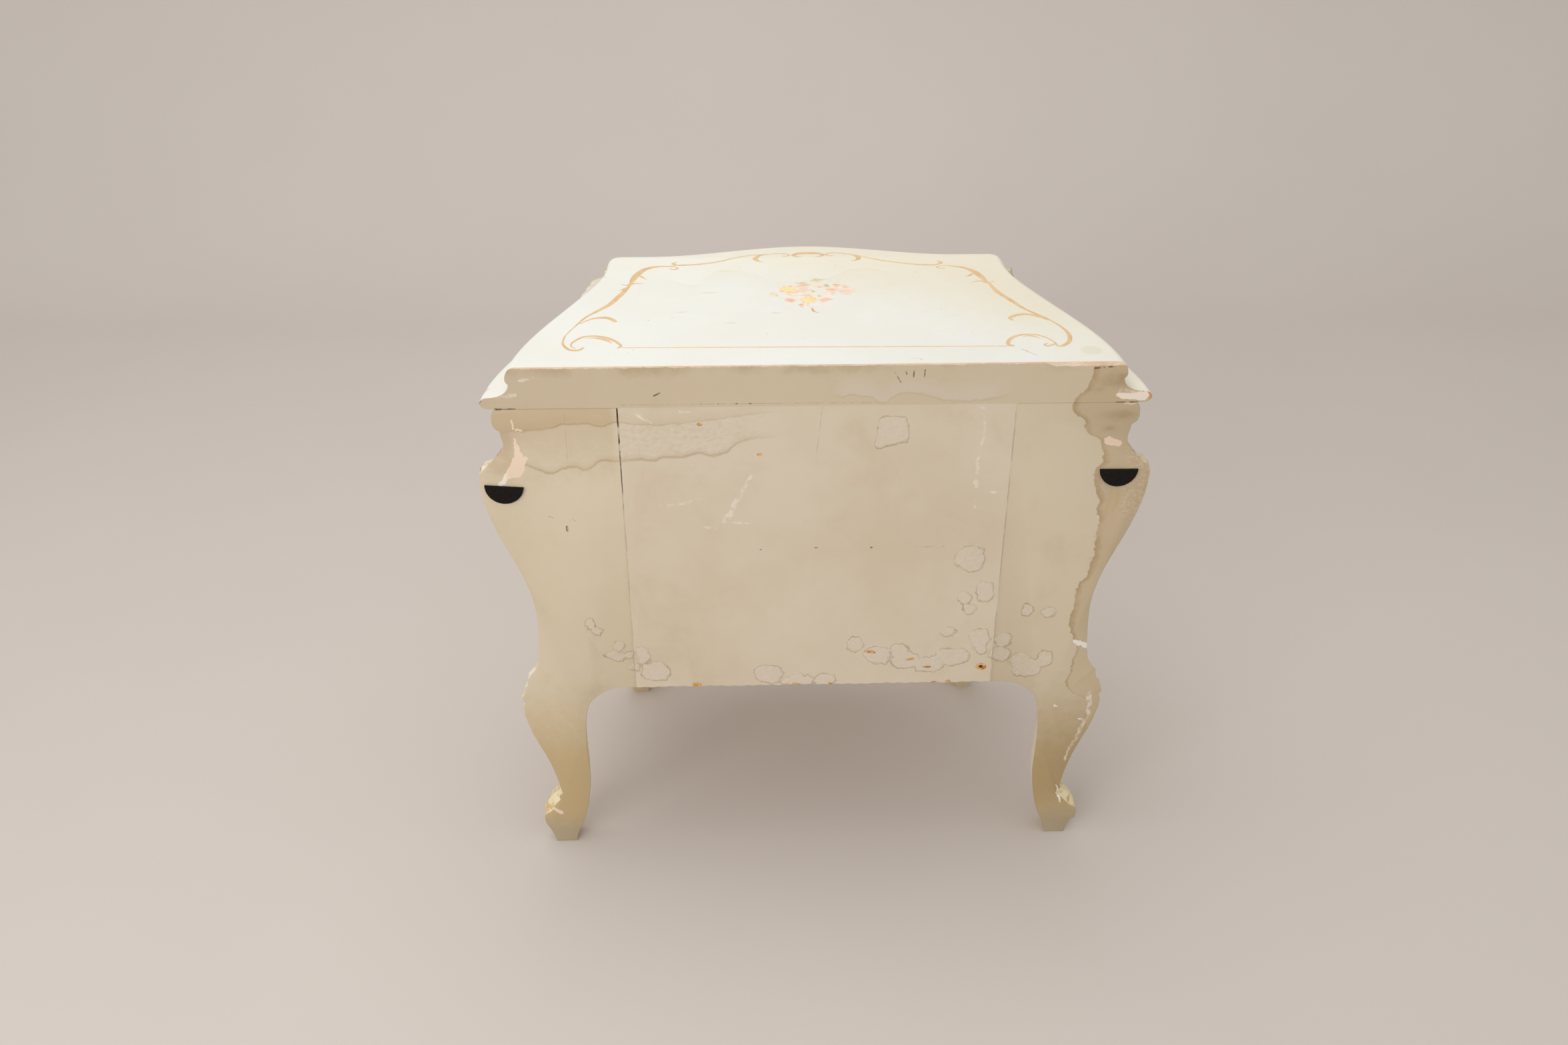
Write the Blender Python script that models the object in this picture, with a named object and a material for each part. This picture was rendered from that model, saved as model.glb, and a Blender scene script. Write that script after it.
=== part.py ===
"""A bombe nightstand with two drawers, a moulded serpentine top and cabriole legs.

Metres, +Z up. The drawers open towards -Y and the flat back faces +Y. The origin is on the floor, under the
middle of the piece. Plan points are (x, depth), with depth measured forwards from the back face.
"""

import math

import bmesh
import bpy
import numpy as np
from mathutils import Matrix, Vector

# Clearances
GAP = 0.0003
DRAWER_PLAY = 0.0015
HOLE_PLAY = 0.0005
PLATE_PLAY = 0.0008
FLOOR_PLAY = 0.0008

# The top: outline of its upper face, and the moulding round the sides and front
HEIGHT = 0.6365
TOP_THICKNESS = 0.0455
TOP_BACK_HALF = 0.304
TOP_FRONT_HALF = 0.234
TOP_SIDE_DEPTH = 0.328
TOP_CENTRE_DEPTH = 0.362
SIDE_SWEEP = 0.300
FRONT_SWEEP = 0.185
CORNER_RADIUS = 0.012
NOSE_REACH = 0.0105
NOSE_DROP = 0.0135
QUIRK_REACH = 0.008
QUIRK_DROP = 0.0195
COVE_REACH = 0.030
LIP_REACH = 0.0385
LIP_HEIGHT = 0.0125

# Heights of the case: those below the top are measured down from its underside
UNDERSIDE = HEIGHT - TOP_THICKNESS
CASE_TOP = UNDERSIDE - GAP
BEAD_DROP = 0.015
TOP_RAIL_HEIGHT = 0.026
NECK_DROP = 0.044
SHOULDER_DROP = 0.086
WAIST_HEIGHT = 0.332
APRON_TOP = 0.282
APRON_BOTTOM = 0.236
LOWER_OPENING = 0.130
RAIL_THICKNESS = 0.018

# Leg outline: outer and inner edge as (height, reach beyond the top's upper outline)
TOP_RAIL_LOW = UNDERSIDE - TOP_RAIL_HEIGHT
NECK_HEIGHT = UNDERSIDE - NECK_DROP
SHOULDER_HEIGHT = UNDERSIDE - SHOULDER_DROP
ARCH_RISE = 0.027
ARCH_RUN = 0.041
ARCH_START = APRON_BOTTOM - ARCH_RISE
SOLE_REACH = 0.0115
SOLE_INNER_REACH = -0.0137
SHOULDER_REACH = 0.0487
LEG_OUTER = (
    (0.0, SOLE_REACH),
    (0.034, 0.0228),
    (0.076, -0.0019),
    (0.214, 0.0320),
    (0.270, 0.0105),
    (WAIST_HEIGHT, 0.0051),
    (SHOULDER_HEIGHT, SHOULDER_REACH),
    (NECK_HEIGHT, 0.0210),
    (TOP_RAIL_LOW, 0.0217),
    (UNDERSIDE - BEAD_DROP, 0.0288),
    (CASE_TOP, 0.0265),
)
LEG_INNER = (
    (0.0, SOLE_INNER_REACH),
    (0.039, -0.0267),
    (0.103, -0.0374),
    (0.166, -0.0367),
    (ARCH_START, -0.0428),
)
LEG_ROUNDING = 0.4
FRONT_FOOT_SETBACK = 0.017

# Case sides and front: reach beyond the top's upper outline
SIDE_BULGE = 0.038
FRONT_BULGE = 0.028
SKIRT_REACH = 0.010
WAIST_REACH = 0.003
NECK_REACH = 0.018
CASE_BEAD_REACH = 0.0258

# Case boards
BACK_SEAM_HALF = 0.205
BACK_LEG_DEPTH = 0.026
BACK_PANEL_THICKNESS = 0.012
REAR_RAIL_DEPTH = 0.018
REAR_RAIL_RISE = 0.015
SIDE_THICKNESS = 0.016
POST_DEPTH = 0.046
OPENING_HALF = 0.188
TOP_RAIL_INSET = 0.010
MID_RAIL_INSET = 0.032
APRON_THICKNESS = 0.022
APRON_DROP = 0.016
BOTTOM_THICKNESS = 0.006
RUNNER_WIDTH = 0.038
GUIDE_WIDTH = 0.014
GUIDE_RISE = 0.012
BLOCK_SIZE = 0.020
BLOCK_LENGTH = 0.120
BLOCK_DEPTH = 0.080

# Drawers
DRAWER_FRONT_THICKNESS = 0.022
DRAWER_SEAT_WIDTH = 0.022
DRAWER_SIDE_THICKNESS = 0.011
DRAWER_BACK_THICKNESS = 0.011
DRAWER_BACK_INSET = 0.006
DRAWER_BOTTOM_THICKNESS = 0.005
DRAWER_HEADROOM = 0.030
GROOVE_DEPTH = 0.005
GROOVE_HEIGHT = 0.010

# Bail pulls
PULL_X = 0.112
PULL_HALF = 0.040
POST_REACH = 0.016
HEAD_RADIUS = 0.006
NECK_RADIUS = 0.0035
PLATE_THICKNESS = 0.002
PLATE_HALF = 0.054
PLATE_MIDDLE_RISE = 0.0065
PLATE_POST_RISE = 0.0125
PLATE_END_RISE = 0.003
SHANK_RADIUS = 0.002
SHANK_END = 0.003
NUT_RADIUS = 0.0055
NUT_THICKNESS = 0.004
BAIL_RADIUS = 0.002
BAIL_DROP = 0.026
BAIL_BEND = 0.006
BAIL_OFFSET = 0.004
PIN_SEAT = 0.0015
HEAD_TURN = math.radians(145.0)

# Brads and felt pads
BRAD_RADIUS = 0.0009
BRAD_LENGTH = 0.024
BRAD_SINK = 0.0006
BRAD_COUNT = 3
BRAD_SPACING = 0.140
PAD_RADIUS = 0.0203
PAD_THICKNESS = 0.003
PAD_PLACES = (("left", 0.3275, 0.5025, math.radians(-4.4)), ("right", -0.3190, 0.514, math.radians(-0.4)))

# Fineness of the curved pieces
SIDE_STEPS = 9
CORNER_STEPS = 3
FRONT_STEPS = 7
ARC_STEPS = 3
LEG_STEPS = 3
SEAT_STEPS = 6
FRONT_COLUMNS = 11
APRON_ROWS = 5
ROUND_SIDES = 10
SMALL_SIDES = 6
BAIL_STEPS = 2
WELD = 1e-6
SLOPE_STEP = 1e-6
PIVOT_MARK = 0.05

BACK_Y = (TOP_CENTRE_DEPTH + LIP_REACH - PAD_THICKNESS - GAP) / 2
POST_BACK = TOP_SIDE_DEPTH - POST_DEPTH
TOP_RAIL_BACK = TOP_SIDE_DEPTH - TOP_RAIL_INSET
MID_RAIL_BACK = TOP_SIDE_DEPTH - MID_RAIL_INSET
MID_RAIL_LOW = APRON_TOP + LOWER_OPENING
MID_RAIL_TOP = MID_RAIL_LOW + RAIL_THICKNESS
DRAWER_HALF = OPENING_HALF - DRAWER_PLAY
SEAT_HALF = DRAWER_HALF - DRAWER_SEAT_WIDTH
HOLLOW_HALF = SEAT_HALF - DRAWER_SIDE_THICKNESS
RUNNER_OUTER = OPENING_HALF - GAP
RUNNER_INNER = RUNNER_OUTER - RUNNER_WIDTH
REAR_FACE = BACK_PANEL_THICKNESS + GAP
RAIL_FACE = REAR_FACE + REAR_RAIL_DEPTH + GAP
DRAWER_REAR = RAIL_FACE
RUNNER_LOWS = {"lower": APRON_TOP - RAIL_THICKNESS, "upper": MID_RAIL_LOW}
OPENINGS = {"lower": (APRON_TOP, MID_RAIL_LOW), "upper": (MID_RAIL_TOP, TOP_RAIL_LOW)}

# Finishes: colour, roughness, metallic
CREAM_PAINT = ((0.86, 0.83, 0.73, 1.0), 0.45, 0.0)
BACK_PAINT = ((0.66, 0.61, 0.50, 1.0), 0.70, 0.0)
BARE_WOOD = ((0.60, 0.43, 0.26, 1.0), 0.75, 0.0)
BRASS = ((0.70, 0.52, 0.24, 1.0), 0.35, 1.0)
STEEL = ((0.55, 0.55, 0.56, 1.0), 0.40, 1.0)
BLACK_FELT = ((0.02, 0.02, 0.02, 1.0), 0.95, 0.0)


# Curves that shape the piece


def eased(stations, at):
    """Value at a place on a curve that levels off at each (place, value) station."""
    for (low, first), (high, last) in zip(stations, stations[1:]):
        if at <= high:
            break
    share = min(max((at - low) / (high - low), 0.0), 1.0)
    return first + (last - first) * share * share * (3.0 - 2.0 * share)


def side_line(depth):
    """Half width of the top's upper outline at a depth."""
    return eased(((0.0, TOP_BACK_HALF), (SIDE_SWEEP, TOP_FRONT_HALF)), depth)


def front_line(x):
    """Depth of the top's upper outline at a distance from the middle."""
    return eased(((0.0, TOP_CENTRE_DEPTH), (FRONT_SWEEP, TOP_SIDE_DEPTH)), abs(x))


def case_reach(height, bulge):
    """How far a case side or front stands beyond the top's upper outline."""
    stations = (
        (APRON_BOTTOM, SKIRT_REACH),
        (WAIST_HEIGHT, WAIST_REACH),
        (SHOULDER_HEIGHT, bulge),
        (NECK_HEIGHT, NECK_REACH),
        (UNDERSIDE - BEAD_DROP, CASE_BEAD_REACH),
        (UNDERSIDE, CASE_BEAD_REACH),
    )
    return eased(stations, height)


def front_face(x, height):
    """Depth of the bowed front at a place on it."""
    return front_line(x) + case_reach(height, FRONT_BULGE)


def side_face(depth, height):
    """Half width of the case side at a place on it."""
    return side_line(depth) + case_reach(height, SIDE_BULGE)


def slope_of(curve, at):
    """Slope of a curve, from two points close to the place."""
    return (curve(at + SLOPE_STEP) - curve(at - SLOPE_STEP)) / (2 * SLOPE_STEP)


def heights_between(stations, low, high, steps):
    """Heights from low to high that keep every station between them, with steps in each interval."""
    stops = [low] + [place for place, _ in stations if low < place < high] + [high]
    spread = [np.linspace(a, b, steps, endpoint=False) for a, b in zip(stops, stops[1:])]
    return [*np.concatenate(spread), high]


def arc(steps, first=0.0, last=math.pi / 2):
    return np.linspace(first, last, steps + 1)


# Building tools


def at_plan(x, depth, height):
    return Vector((x, BACK_Y - depth, height))


def new_collection(name):
    collection = bpy.data.collections.new(name)
    bpy.context.scene.collection.children.link(collection)
    return collection


def clear_scene():
    for item in list(bpy.data.objects):
        bpy.data.objects.remove(item, do_unlink=True)


def finish(item, look):
    """Gives an object its own material."""
    colour, roughness, metallic = look
    material = bpy.data.materials.new(item.name + "_finish")
    material.use_nodes = True
    shader = material.node_tree.nodes["Principled BSDF"]
    shader.inputs["Base Color"].default_value = colour
    shader.inputs["Roughness"].default_value = roughness
    shader.inputs["Metallic"].default_value = metallic
    material.diffuse_color = colour
    item.data.materials.append(material)


def add_mesh(name, solid, look):
    """Turns a finished bmesh into a named part."""
    bmesh.ops.recalc_face_normals(solid, faces=solid.faces)
    mesh = bpy.data.meshes.new(name)
    solid.to_mesh(mesh)
    solid.free()
    part = bpy.data.objects.new(name, mesh)
    PARTS.objects.link(part)
    finish(part, look)
    return part


def add_loft(name, rings, look):
    """A solid through rings of equal point counts, closed by the first and the last ring."""
    solid = bmesh.new()
    rows = [[solid.verts.new(point) for point in ring] for ring in rings]
    for lower, upper in zip(rows, rows[1:]):
        for i, point in enumerate(lower):
            j = (i + 1) % len(lower)
            solid.faces.new((point, lower[j], upper[j], upper[i]))
    solid.faces.new(rows[0])
    solid.faces.new(rows[-1])
    return add_mesh(name, solid, look)


def cube_into(solid, x_range, depth_range, height_range):
    """Adds a box, given its limits across, in depth and in height."""
    limits = np.array((x_range, depth_range, height_range))
    centre = at_plan(*limits.mean(axis=1))
    size = np.abs(limits[:, 1] - limits[:, 0])
    matrix = Matrix.Translation(centre) @ Matrix.Diagonal((*size, 1.0))
    bmesh.ops.create_cube(solid, size=1.0, matrix=matrix)


def add_box(name, x_range, depth_range, height_range, look):
    solid = bmesh.new()
    cube_into(solid, x_range, depth_range, height_range)
    return add_mesh(name, solid, look)


def rod_into(solid, start, end, radius, sides):
    """Adds a round bar between two points."""
    run = end - start
    turn = Vector((0, 0, 1)).rotation_difference(run).to_matrix().to_4x4()
    matrix = Matrix.Translation((start + end) / 2) @ turn
    bmesh.ops.create_cone(
        solid, cap_ends=True, segments=sides, radius1=radius, radius2=radius, depth=run.length, matrix=matrix
    )


def turned_into(group, profile, frame, sides, ring=False):
    """Adds a solid turned about the frame's Y axis from (radius, place) points."""
    solid = bmesh.new()
    points = [solid.verts.new((radius, place, 0.0)) for radius, place in profile]
    ends = points[1:] + points[:1] if ring else points[1:]
    edges = [solid.edges.new(pair) for pair in zip(points, ends)]
    bmesh.ops.spin(
        solid, geom=points + edges, axis=(0, 1, 0), cent=(0, 0, 0), angle=2 * math.pi, steps=sides
    )
    bmesh.ops.remove_doubles(solid, verts=solid.verts, dist=WELD)
    bmesh.ops.transform(solid, matrix=frame, verts=solid.verts)
    mesh = bpy.data.meshes.new("turned")
    solid.to_mesh(mesh)
    group.from_mesh(mesh)
    bpy.data.meshes.remove(mesh)
    solid.free()


def add_board(name, outline, thickness, matrix, look):
    """A flat outline with half its thickness to each side of the matrix's XY plane."""
    curve = bpy.data.curves.new(name, "CURVE")
    curve.dimensions = "2D"
    curve.fill_mode = "BOTH"
    curve.extrude = thickness / 2
    spline = curve.splines.new("POLY")
    spline.points.add(len(outline) - 1)
    for point, (x, y) in zip(spline.points, outline):
        point.co = (x, y, 0.0, 1.0)
    spline.use_cyclic_u = True
    board = bpy.data.objects.new(name, curve)
    board.matrix_world = matrix
    PARTS.objects.link(board)
    finish(board, look)
    return board


def upright(depth):
    """Frame of an outline drawn in (x, height) at a depth."""
    return Matrix.Translation(at_plan(0.0, depth, 0.0)) @ Matrix.Rotation(math.pi / 2, 4, "X")


def level(height):
    """Frame of an outline drawn in (x, y) at a height."""
    return Matrix.Translation((0.0, 0.0, height))


def add_cutter(name, solid):
    bmesh.ops.recalc_face_normals(solid, faces=solid.faces)
    mesh = bpy.data.meshes.new(name)
    solid.to_mesh(mesh)
    solid.free()
    cutter = bpy.data.objects.new(name, mesh)
    cutter.hide_render = True
    cutter.display_type = "WIRE"
    CUTTERS.objects.link(cutter)
    return cutter


def combine(part, form, operation):
    """Cuts a form from a part, or joins it on."""
    boolean = part.modifiers.new(form.name, "BOOLEAN")
    boolean.operation = operation
    boolean.solver = "EXACT"
    boolean.object = form


def add_empty(name, matrix, parent=None):
    empty = bpy.data.objects.new(name, None)
    empty.empty_display_size = PIVOT_MARK
    PARTS.objects.link(empty)
    if parent:
        attach(empty, parent)
    empty.matrix_world = matrix
    bpy.context.view_layer.update()
    return empty


def attach(part, parent):
    """Parents a part without moving it."""
    part.parent = parent
    part.matrix_parent_inverse = parent.matrix_world.inverted()


# Top


def moulding():
    """The top's edge as (drop below the upper face, reach): nose, quirk, cove and half-round lip."""
    lip_drop = TOP_THICKNESS - LIP_HEIGHT
    nose = [(NOSE_DROP * (1 - math.cos(a)), NOSE_REACH * math.sin(a)) for a in arc(ARC_STEPS)]
    cove = [
        (
            QUIRK_DROP + (lip_drop - QUIRK_DROP) * math.sin(a),
            QUIRK_REACH + (COVE_REACH - QUIRK_REACH) * (1 - math.cos(a)),
        )
        for a in arc(ARC_STEPS)
    ]
    lip = [
        (
            lip_drop + LIP_HEIGHT / 2 * (1 - math.cos(a)),
            COVE_REACH + (LIP_REACH - COVE_REACH) * math.sin(a),
        )
        for a in arc(ARC_STEPS + 1, last=math.pi)
    ]
    return nose + cove + lip[1:]


def top_outline(reach):
    """Plan points at a reach beyond the upper face, round the front from one back corner to the other."""
    half = []
    for depth in np.linspace(0.0, SIDE_SWEEP, SIDE_STEPS + 1):
        slope = slope_of(side_line, depth)
        run = math.hypot(1.0, slope)
        half.append((side_line(depth) + reach / run, depth - reach * slope / run))
    for angle in arc(CORNER_STEPS):
        radius = CORNER_RADIUS + reach
        x = TOP_FRONT_HALF - CORNER_RADIUS + radius * math.cos(angle)
        half.append((x, TOP_SIDE_DEPTH - CORNER_RADIUS + radius * math.sin(angle)))
    for x in np.linspace(FRONT_SWEEP, 0.0, FRONT_STEPS + 1):
        slope = slope_of(front_line, x)
        run = math.hypot(1.0, slope)
        half.append((x - reach * slope / run, front_line(x) + reach / run))
    return half + [(-x, depth) for x, depth in reversed(half[:-1])]


def make_top():
    rings = []
    for drop, reach in moulding():
        rings.append([at_plan(x, depth, HEIGHT - drop) for x, depth in top_outline(reach)])
    add_loft("top_board", rings, CREAM_PAINT)


# Legs


def make_back_legs():
    outer_heights = heights_between(LEG_OUTER, 0.0, CASE_TOP, LEG_STEPS + 1)
    outer = [(TOP_BACK_HALF + eased(LEG_OUTER, z), z) for z in outer_heights]
    arch_x = TOP_BACK_HALF + eased(LEG_INNER, ARCH_START) - ARCH_RUN
    arch = [(arch_x + ARCH_RUN * math.sin(a), ARCH_START + ARCH_RISE * math.cos(a)) for a in arc(ARC_STEPS + 1)]
    inner_heights = heights_between(LEG_INNER, 0.0, ARCH_START, LEG_STEPS)[-2::-1]
    inner = [(TOP_BACK_HALF + eased(LEG_INNER, z), z) for z in inner_heights]
    seam = [(BACK_SEAM_HALF, CASE_TOP), (BACK_SEAM_HALF, APRON_BOTTOM)]
    outline = outer + seam + arch + inner
    for name, side in (("left", 1), ("right", -1)):
        mirrored = [(side * x, z) for x, z in outline]
        add_board("back_leg_" + name, mirrored, BACK_LEG_DEPTH, upright(BACK_LEG_DEPTH / 2), BACK_PAINT)


def post_section(height):
    """Plan section of a front corner post, with flat faces to the drawers and to the case side."""
    front = case_reach(height, FRONT_BULGE)
    flank = case_reach(height, SIDE_BULGE)
    leg = eased(LEG_OUTER, height)
    points = [(OPENING_HALF, POST_BACK), (OPENING_HALF, front_face(OPENING_HALF, height))]
    for angle in arc(CORNER_STEPS + 1)[::-1]:
        plain = flank * math.cos(angle) ** 2 + front * math.sin(angle) ** 2
        radius = CORNER_RADIUS + plain + (leg - plain) * math.sin(2 * angle) ** 2
        x = TOP_FRONT_HALF - CORNER_RADIUS + radius * math.cos(angle)
        points.append((x, TOP_SIDE_DEPTH - CORNER_RADIUS + radius * math.sin(angle)))
    points.append((side_face(POST_BACK, height), POST_BACK))
    return np.array(points)


def free_section(height):
    """Plan section of a front leg below the case, square with one rounded corner to the outside."""
    inner = eased(LEG_INNER, height)
    length = eased(LEG_OUTER, height) - inner
    edge = length / (math.sqrt(2) - LEG_ROUNDING * (math.sqrt(2) - 1))
    radius = LEG_ROUNDING * edge
    shift = (CORNER_RADIUS + inner) / math.sqrt(2)
    x = TOP_FRONT_HALF - CORNER_RADIUS + shift
    setback = FRONT_FOOT_SETBACK * (1 - height / APRON_BOTTOM)
    depth = TOP_SIDE_DEPTH - CORNER_RADIUS + shift - setback
    points = [(x, depth), (x, depth + edge)]
    for angle in arc(CORNER_STEPS + 1)[::-1]:
        across = edge - radius + radius * math.cos(angle)
        along = edge - radius + radius * math.sin(angle)
        points.append((x + across, depth + along))
    points.append((x + edge, depth))
    return np.array(points)


def make_front_legs():
    sections = []
    for height in heights_between(LEG_OUTER, 0.0, ARCH_START, LEG_STEPS):
        sections.append((height, free_section(height)))
    for angle in arc(ARC_STEPS)[1:]:
        height = ARCH_START + ARCH_RISE * math.sin(angle)
        share = 1 - math.cos(angle)
        sections.append((height, free_section(height) * (1 - share) + post_section(height) * share))
    for height in heights_between(LEG_OUTER, APRON_BOTTOM, CASE_TOP, LEG_STEPS)[1:]:
        sections.append((height, post_section(height)))
    for name, side in (("left", 1), ("right", -1)):
        rings = [[at_plan(side * x, depth, height) for x, depth in points] for height, points in sections]
        add_loft("front_leg_" + name, rings, CREAM_PAINT)


# Case


def case_heights(low, high, steps):
    return heights_between(LEG_OUTER, low, high, steps)


def make_side_panels():
    heights = case_heights(APRON_BOTTOM, CASE_TOP, ARC_STEPS)
    depths = np.linspace(BACK_LEG_DEPTH + GAP, POST_BACK - GAP, SIDE_STEPS)
    for name, side in (("left", 1), ("right", -1)):
        rings = []
        for depth in depths:
            outer = [at_plan(side * side_face(depth, z), depth, z) for z in heights]
            inner = [at_plan(side * (side_face(depth, z) - SIDE_THICKNESS), depth, z) for z in heights[::-1]]
            rings.append(outer + inner)
        add_loft("side_panel_" + name, rings, CREAM_PAINT)


def add_bowed(name, columns, heights_at, inner_at, look):
    """A front piece that follows the bowed front, with its own heights and inner face at each column."""
    rings = []
    for x in columns:
        heights = heights_at(x)
        outer = [at_plan(x, front_face(x, z), z) for z in heights]
        inner = [at_plan(x, inner_at(x, z), z) for z in heights[::-1]]
        rings.append(outer + inner)
    return add_loft(name, rings, look)


def rail_columns():
    """Distances from the middle at which the front rails are drawn."""
    return np.linspace(-RUNNER_OUTER, RUNNER_OUTER, FRONT_COLUMNS)


def make_front_rails():
    columns = rail_columns()
    top_heights = case_heights(TOP_RAIL_LOW, CASE_TOP, ARC_STEPS)
    add_bowed("top_rail", columns, lambda x: top_heights, lambda x, z: TOP_RAIL_BACK, CREAM_PAINT)
    mid_heights = [MID_RAIL_LOW, MID_RAIL_TOP]
    add_bowed("mid_rail", columns, lambda x: mid_heights, lambda x, z: MID_RAIL_BACK, CREAM_PAINT)

    def apron_heights(x):
        low = eased(((0.0, APRON_BOTTOM - APRON_DROP), (OPENING_HALF, APRON_BOTTOM)), abs(x))
        return list(np.linspace(low, APRON_TOP, APRON_ROWS))

    def apron_back(x, z):
        return front_face(x, z) - APRON_THICKNESS

    add_bowed("apron", columns, apron_heights, apron_back, CREAM_PAINT)


def make_back_panel():
    half = BACK_SEAM_HALF - GAP
    depths = (0.0, BACK_PANEL_THICKNESS)
    return add_box("back_panel", (-half, half), depths, (APRON_BOTTOM, CASE_TOP), BACK_PAINT)


def make_rear_rails():
    """Rails behind the back panel: two stand above the runners and stop the drawers, one is under the top."""
    half = BACK_SEAM_HALF - GAP
    depths = (REAR_FACE, REAR_FACE + REAR_RAIL_DEPTH)
    rails = {}
    for name, low in RUNNER_LOWS.items():
        heights = (low, low + RAIL_THICKNESS + REAR_RAIL_RISE)
        rails[name] = add_box(f"rear_{name}_rail", (-half, half), depths, heights, BARE_WOOD)
    add_box("rear_top_rail", (-half, half), depths, (CASE_TOP - RAIL_THICKNESS, CASE_TOP), BARE_WOOD)
    return rails


def make_bottom_board():
    """Dust board under the lower runners, notched round the legs and following the sides and the apron."""
    high = RUNNER_LOWS["lower"] - GAP
    low = high - BOTTOM_THICKNESS
    front = [(x, front_face(x, high) - APRON_THICKNESS - GAP) for x in rail_columns()]
    half = [(RUNNER_OUTER, POST_BACK - GAP)]
    for depth in np.linspace(POST_BACK - GAP, BACK_LEG_DEPTH + GAP, SIDE_STEPS):
        half.append((side_face(depth, high) - SIDE_THICKNESS - GAP, depth))
    half.append((BACK_SEAM_HALF - GAP, BACK_LEG_DEPTH + GAP))
    half.append((BACK_SEAM_HALF - GAP, REAR_FACE))
    outline = front + half + [(-x, depth) for x, depth in reversed(half)]
    in_plan = [(x, BACK_Y - depth) for x, depth in outline]
    add_board("bottom_board", in_plan, BOTTOM_THICKNESS, level((low + high) / 2), BARE_WOOD)


def mirrored_range(side, inner, outer):
    return sorted((side * inner, side * outer))


def make_runners():
    """Runners that carry the drawers, guides beside them, and kickers that keep the upper drawer level."""
    apron_back = front_face(RUNNER_OUTER, APRON_TOP) - APRON_THICKNESS
    fronts = {"lower": apron_back - GAP, "upper": MID_RAIL_BACK - GAP}
    for name, side in (("left", 1), ("right", -1)):
        runner_x = mirrored_range(side, RUNNER_INNER, RUNNER_OUTER)
        guide_x = mirrored_range(side, OPENING_HALF, OPENING_HALF + GUIDE_WIDTH)
        for level_name, low in RUNNER_LOWS.items():
            high = low + RAIL_THICKNESS
            where = f"{level_name}_{name}"
            add_box(f"{where}_runner", runner_x, (RAIL_FACE, fronts[level_name]), (low, high), BARE_WOOD)
            guide_depths = (RAIL_FACE, POST_BACK - GAP)
            add_box(f"{where}_guide", guide_x, guide_depths, (low, high + GUIDE_RISE), BARE_WOOD)
        kicker_depths = (RAIL_FACE, TOP_RAIL_BACK - GAP)
        add_box(f"{name}_kicker", runner_x, kicker_depths, (CASE_TOP - RAIL_THICKNESS, CASE_TOP), BARE_WOOD)


def make_glue_blocks():
    """Blocks in the corners between the case sides and the underside of the top."""
    low = CASE_TOP - BLOCK_SIZE
    far = BLOCK_DEPTH + BLOCK_LENGTH
    outer = side_face(far, low) - SIDE_THICKNESS - GAP
    for name, side in (("left", 1), ("right", -1)):
        across = mirrored_range(side, outer - BLOCK_SIZE, outer)
        add_box("glue_block_" + name, across, (BLOCK_DEPTH, far), (low, CASE_TOP), BARE_WOOD)


def make_brads(panel, rail):
    """A row of brads through the back panel into the rail between the drawers, in holes of their own."""
    holes = bmesh.new()
    height = MID_RAIL_LOW + RAIL_THICKNESS / 2
    row = (np.arange(BRAD_COUNT) - (BRAD_COUNT - 1) / 2) * BRAD_SPACING
    for number, x in enumerate(row, 1):
        brad = bmesh.new()
        tip = BRAD_SINK + BRAD_LENGTH
        rod_into(brad, at_plan(x, BRAD_SINK, height), at_plan(x, tip, height), BRAD_RADIUS, SMALL_SIDES)
        add_mesh(f"back_brad_{number}", brad, STEEL)
        mouth = at_plan(x, -BRAD_SINK, height)
        end = at_plan(x, tip + HOLE_PLAY, height)
        rod_into(holes, mouth, end, BRAD_RADIUS + HOLE_PLAY, SMALL_SIDES)
    cutter = add_cutter("brad_holes", holes)
    combine(panel, cutter, "DIFFERENCE")
    combine(rail, cutter, "DIFFERENCE")


def make_pads():
    """Half-round felt pads stuck to the back of the legs by hand, each with its own tilt."""
    turns = arc(ROUND_SIDES, last=math.pi)
    outline = [(PAD_RADIUS * math.cos(a), -PAD_RADIUS * math.sin(a)) for a in turns]
    for name, x, height, tilt in PAD_PLACES:
        centre = at_plan(x, -GAP - PAD_THICKNESS / 2, height)
        turn = Matrix.Rotation(tilt, 4, "Y") @ Matrix.Rotation(math.pi / 2, 4, "X")
        add_board("bumper_pad_" + name, outline, PAD_THICKNESS, Matrix.Translation(centre) @ turn, BLACK_FELT)


# Drawers


def drawer_columns():
    """Distances from the middle at which a drawer front is drawn, with a flat seat at each end."""
    return [
        -DRAWER_HALF,
        -SEAT_HALF,
        *np.linspace(-HOLLOW_HALF, HOLLOW_HALF, FRONT_COLUMNS),
        SEAT_HALF,
        DRAWER_HALF,
    ]


def seat_depth():
    """Depth of the flat seats behind a drawer front, where its sides are joined on."""
    return front_line(OPENING_HALF) + WAIST_REACH - DRAWER_FRONT_THICKNESS


def drawer_front_back(x, height):
    """Depth of a drawer front's inner face: flat seats at its ends, and hollowed to match the bow between."""
    hollow_x = min(max(x, -HOLLOW_HALF), HOLLOW_HALF)
    hollow_depth = front_face(hollow_x, height) - DRAWER_FRONT_THICKNESS
    share = (abs(x) - HOLLOW_HALF) / (SEAT_HALF - HOLLOW_HALF)
    return float(np.interp(share, (0.0, 1.0), (hollow_depth, seat_depth())))


def make_drawer_front(name, low, high):
    heights = case_heights(low + DRAWER_PLAY, high - DRAWER_PLAY, 2 * ARC_STEPS)
    columns = drawer_columns()
    return add_bowed(name + "_drawer_front", columns, lambda x: heights, drawer_front_back, CREAM_PAINT)


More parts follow.
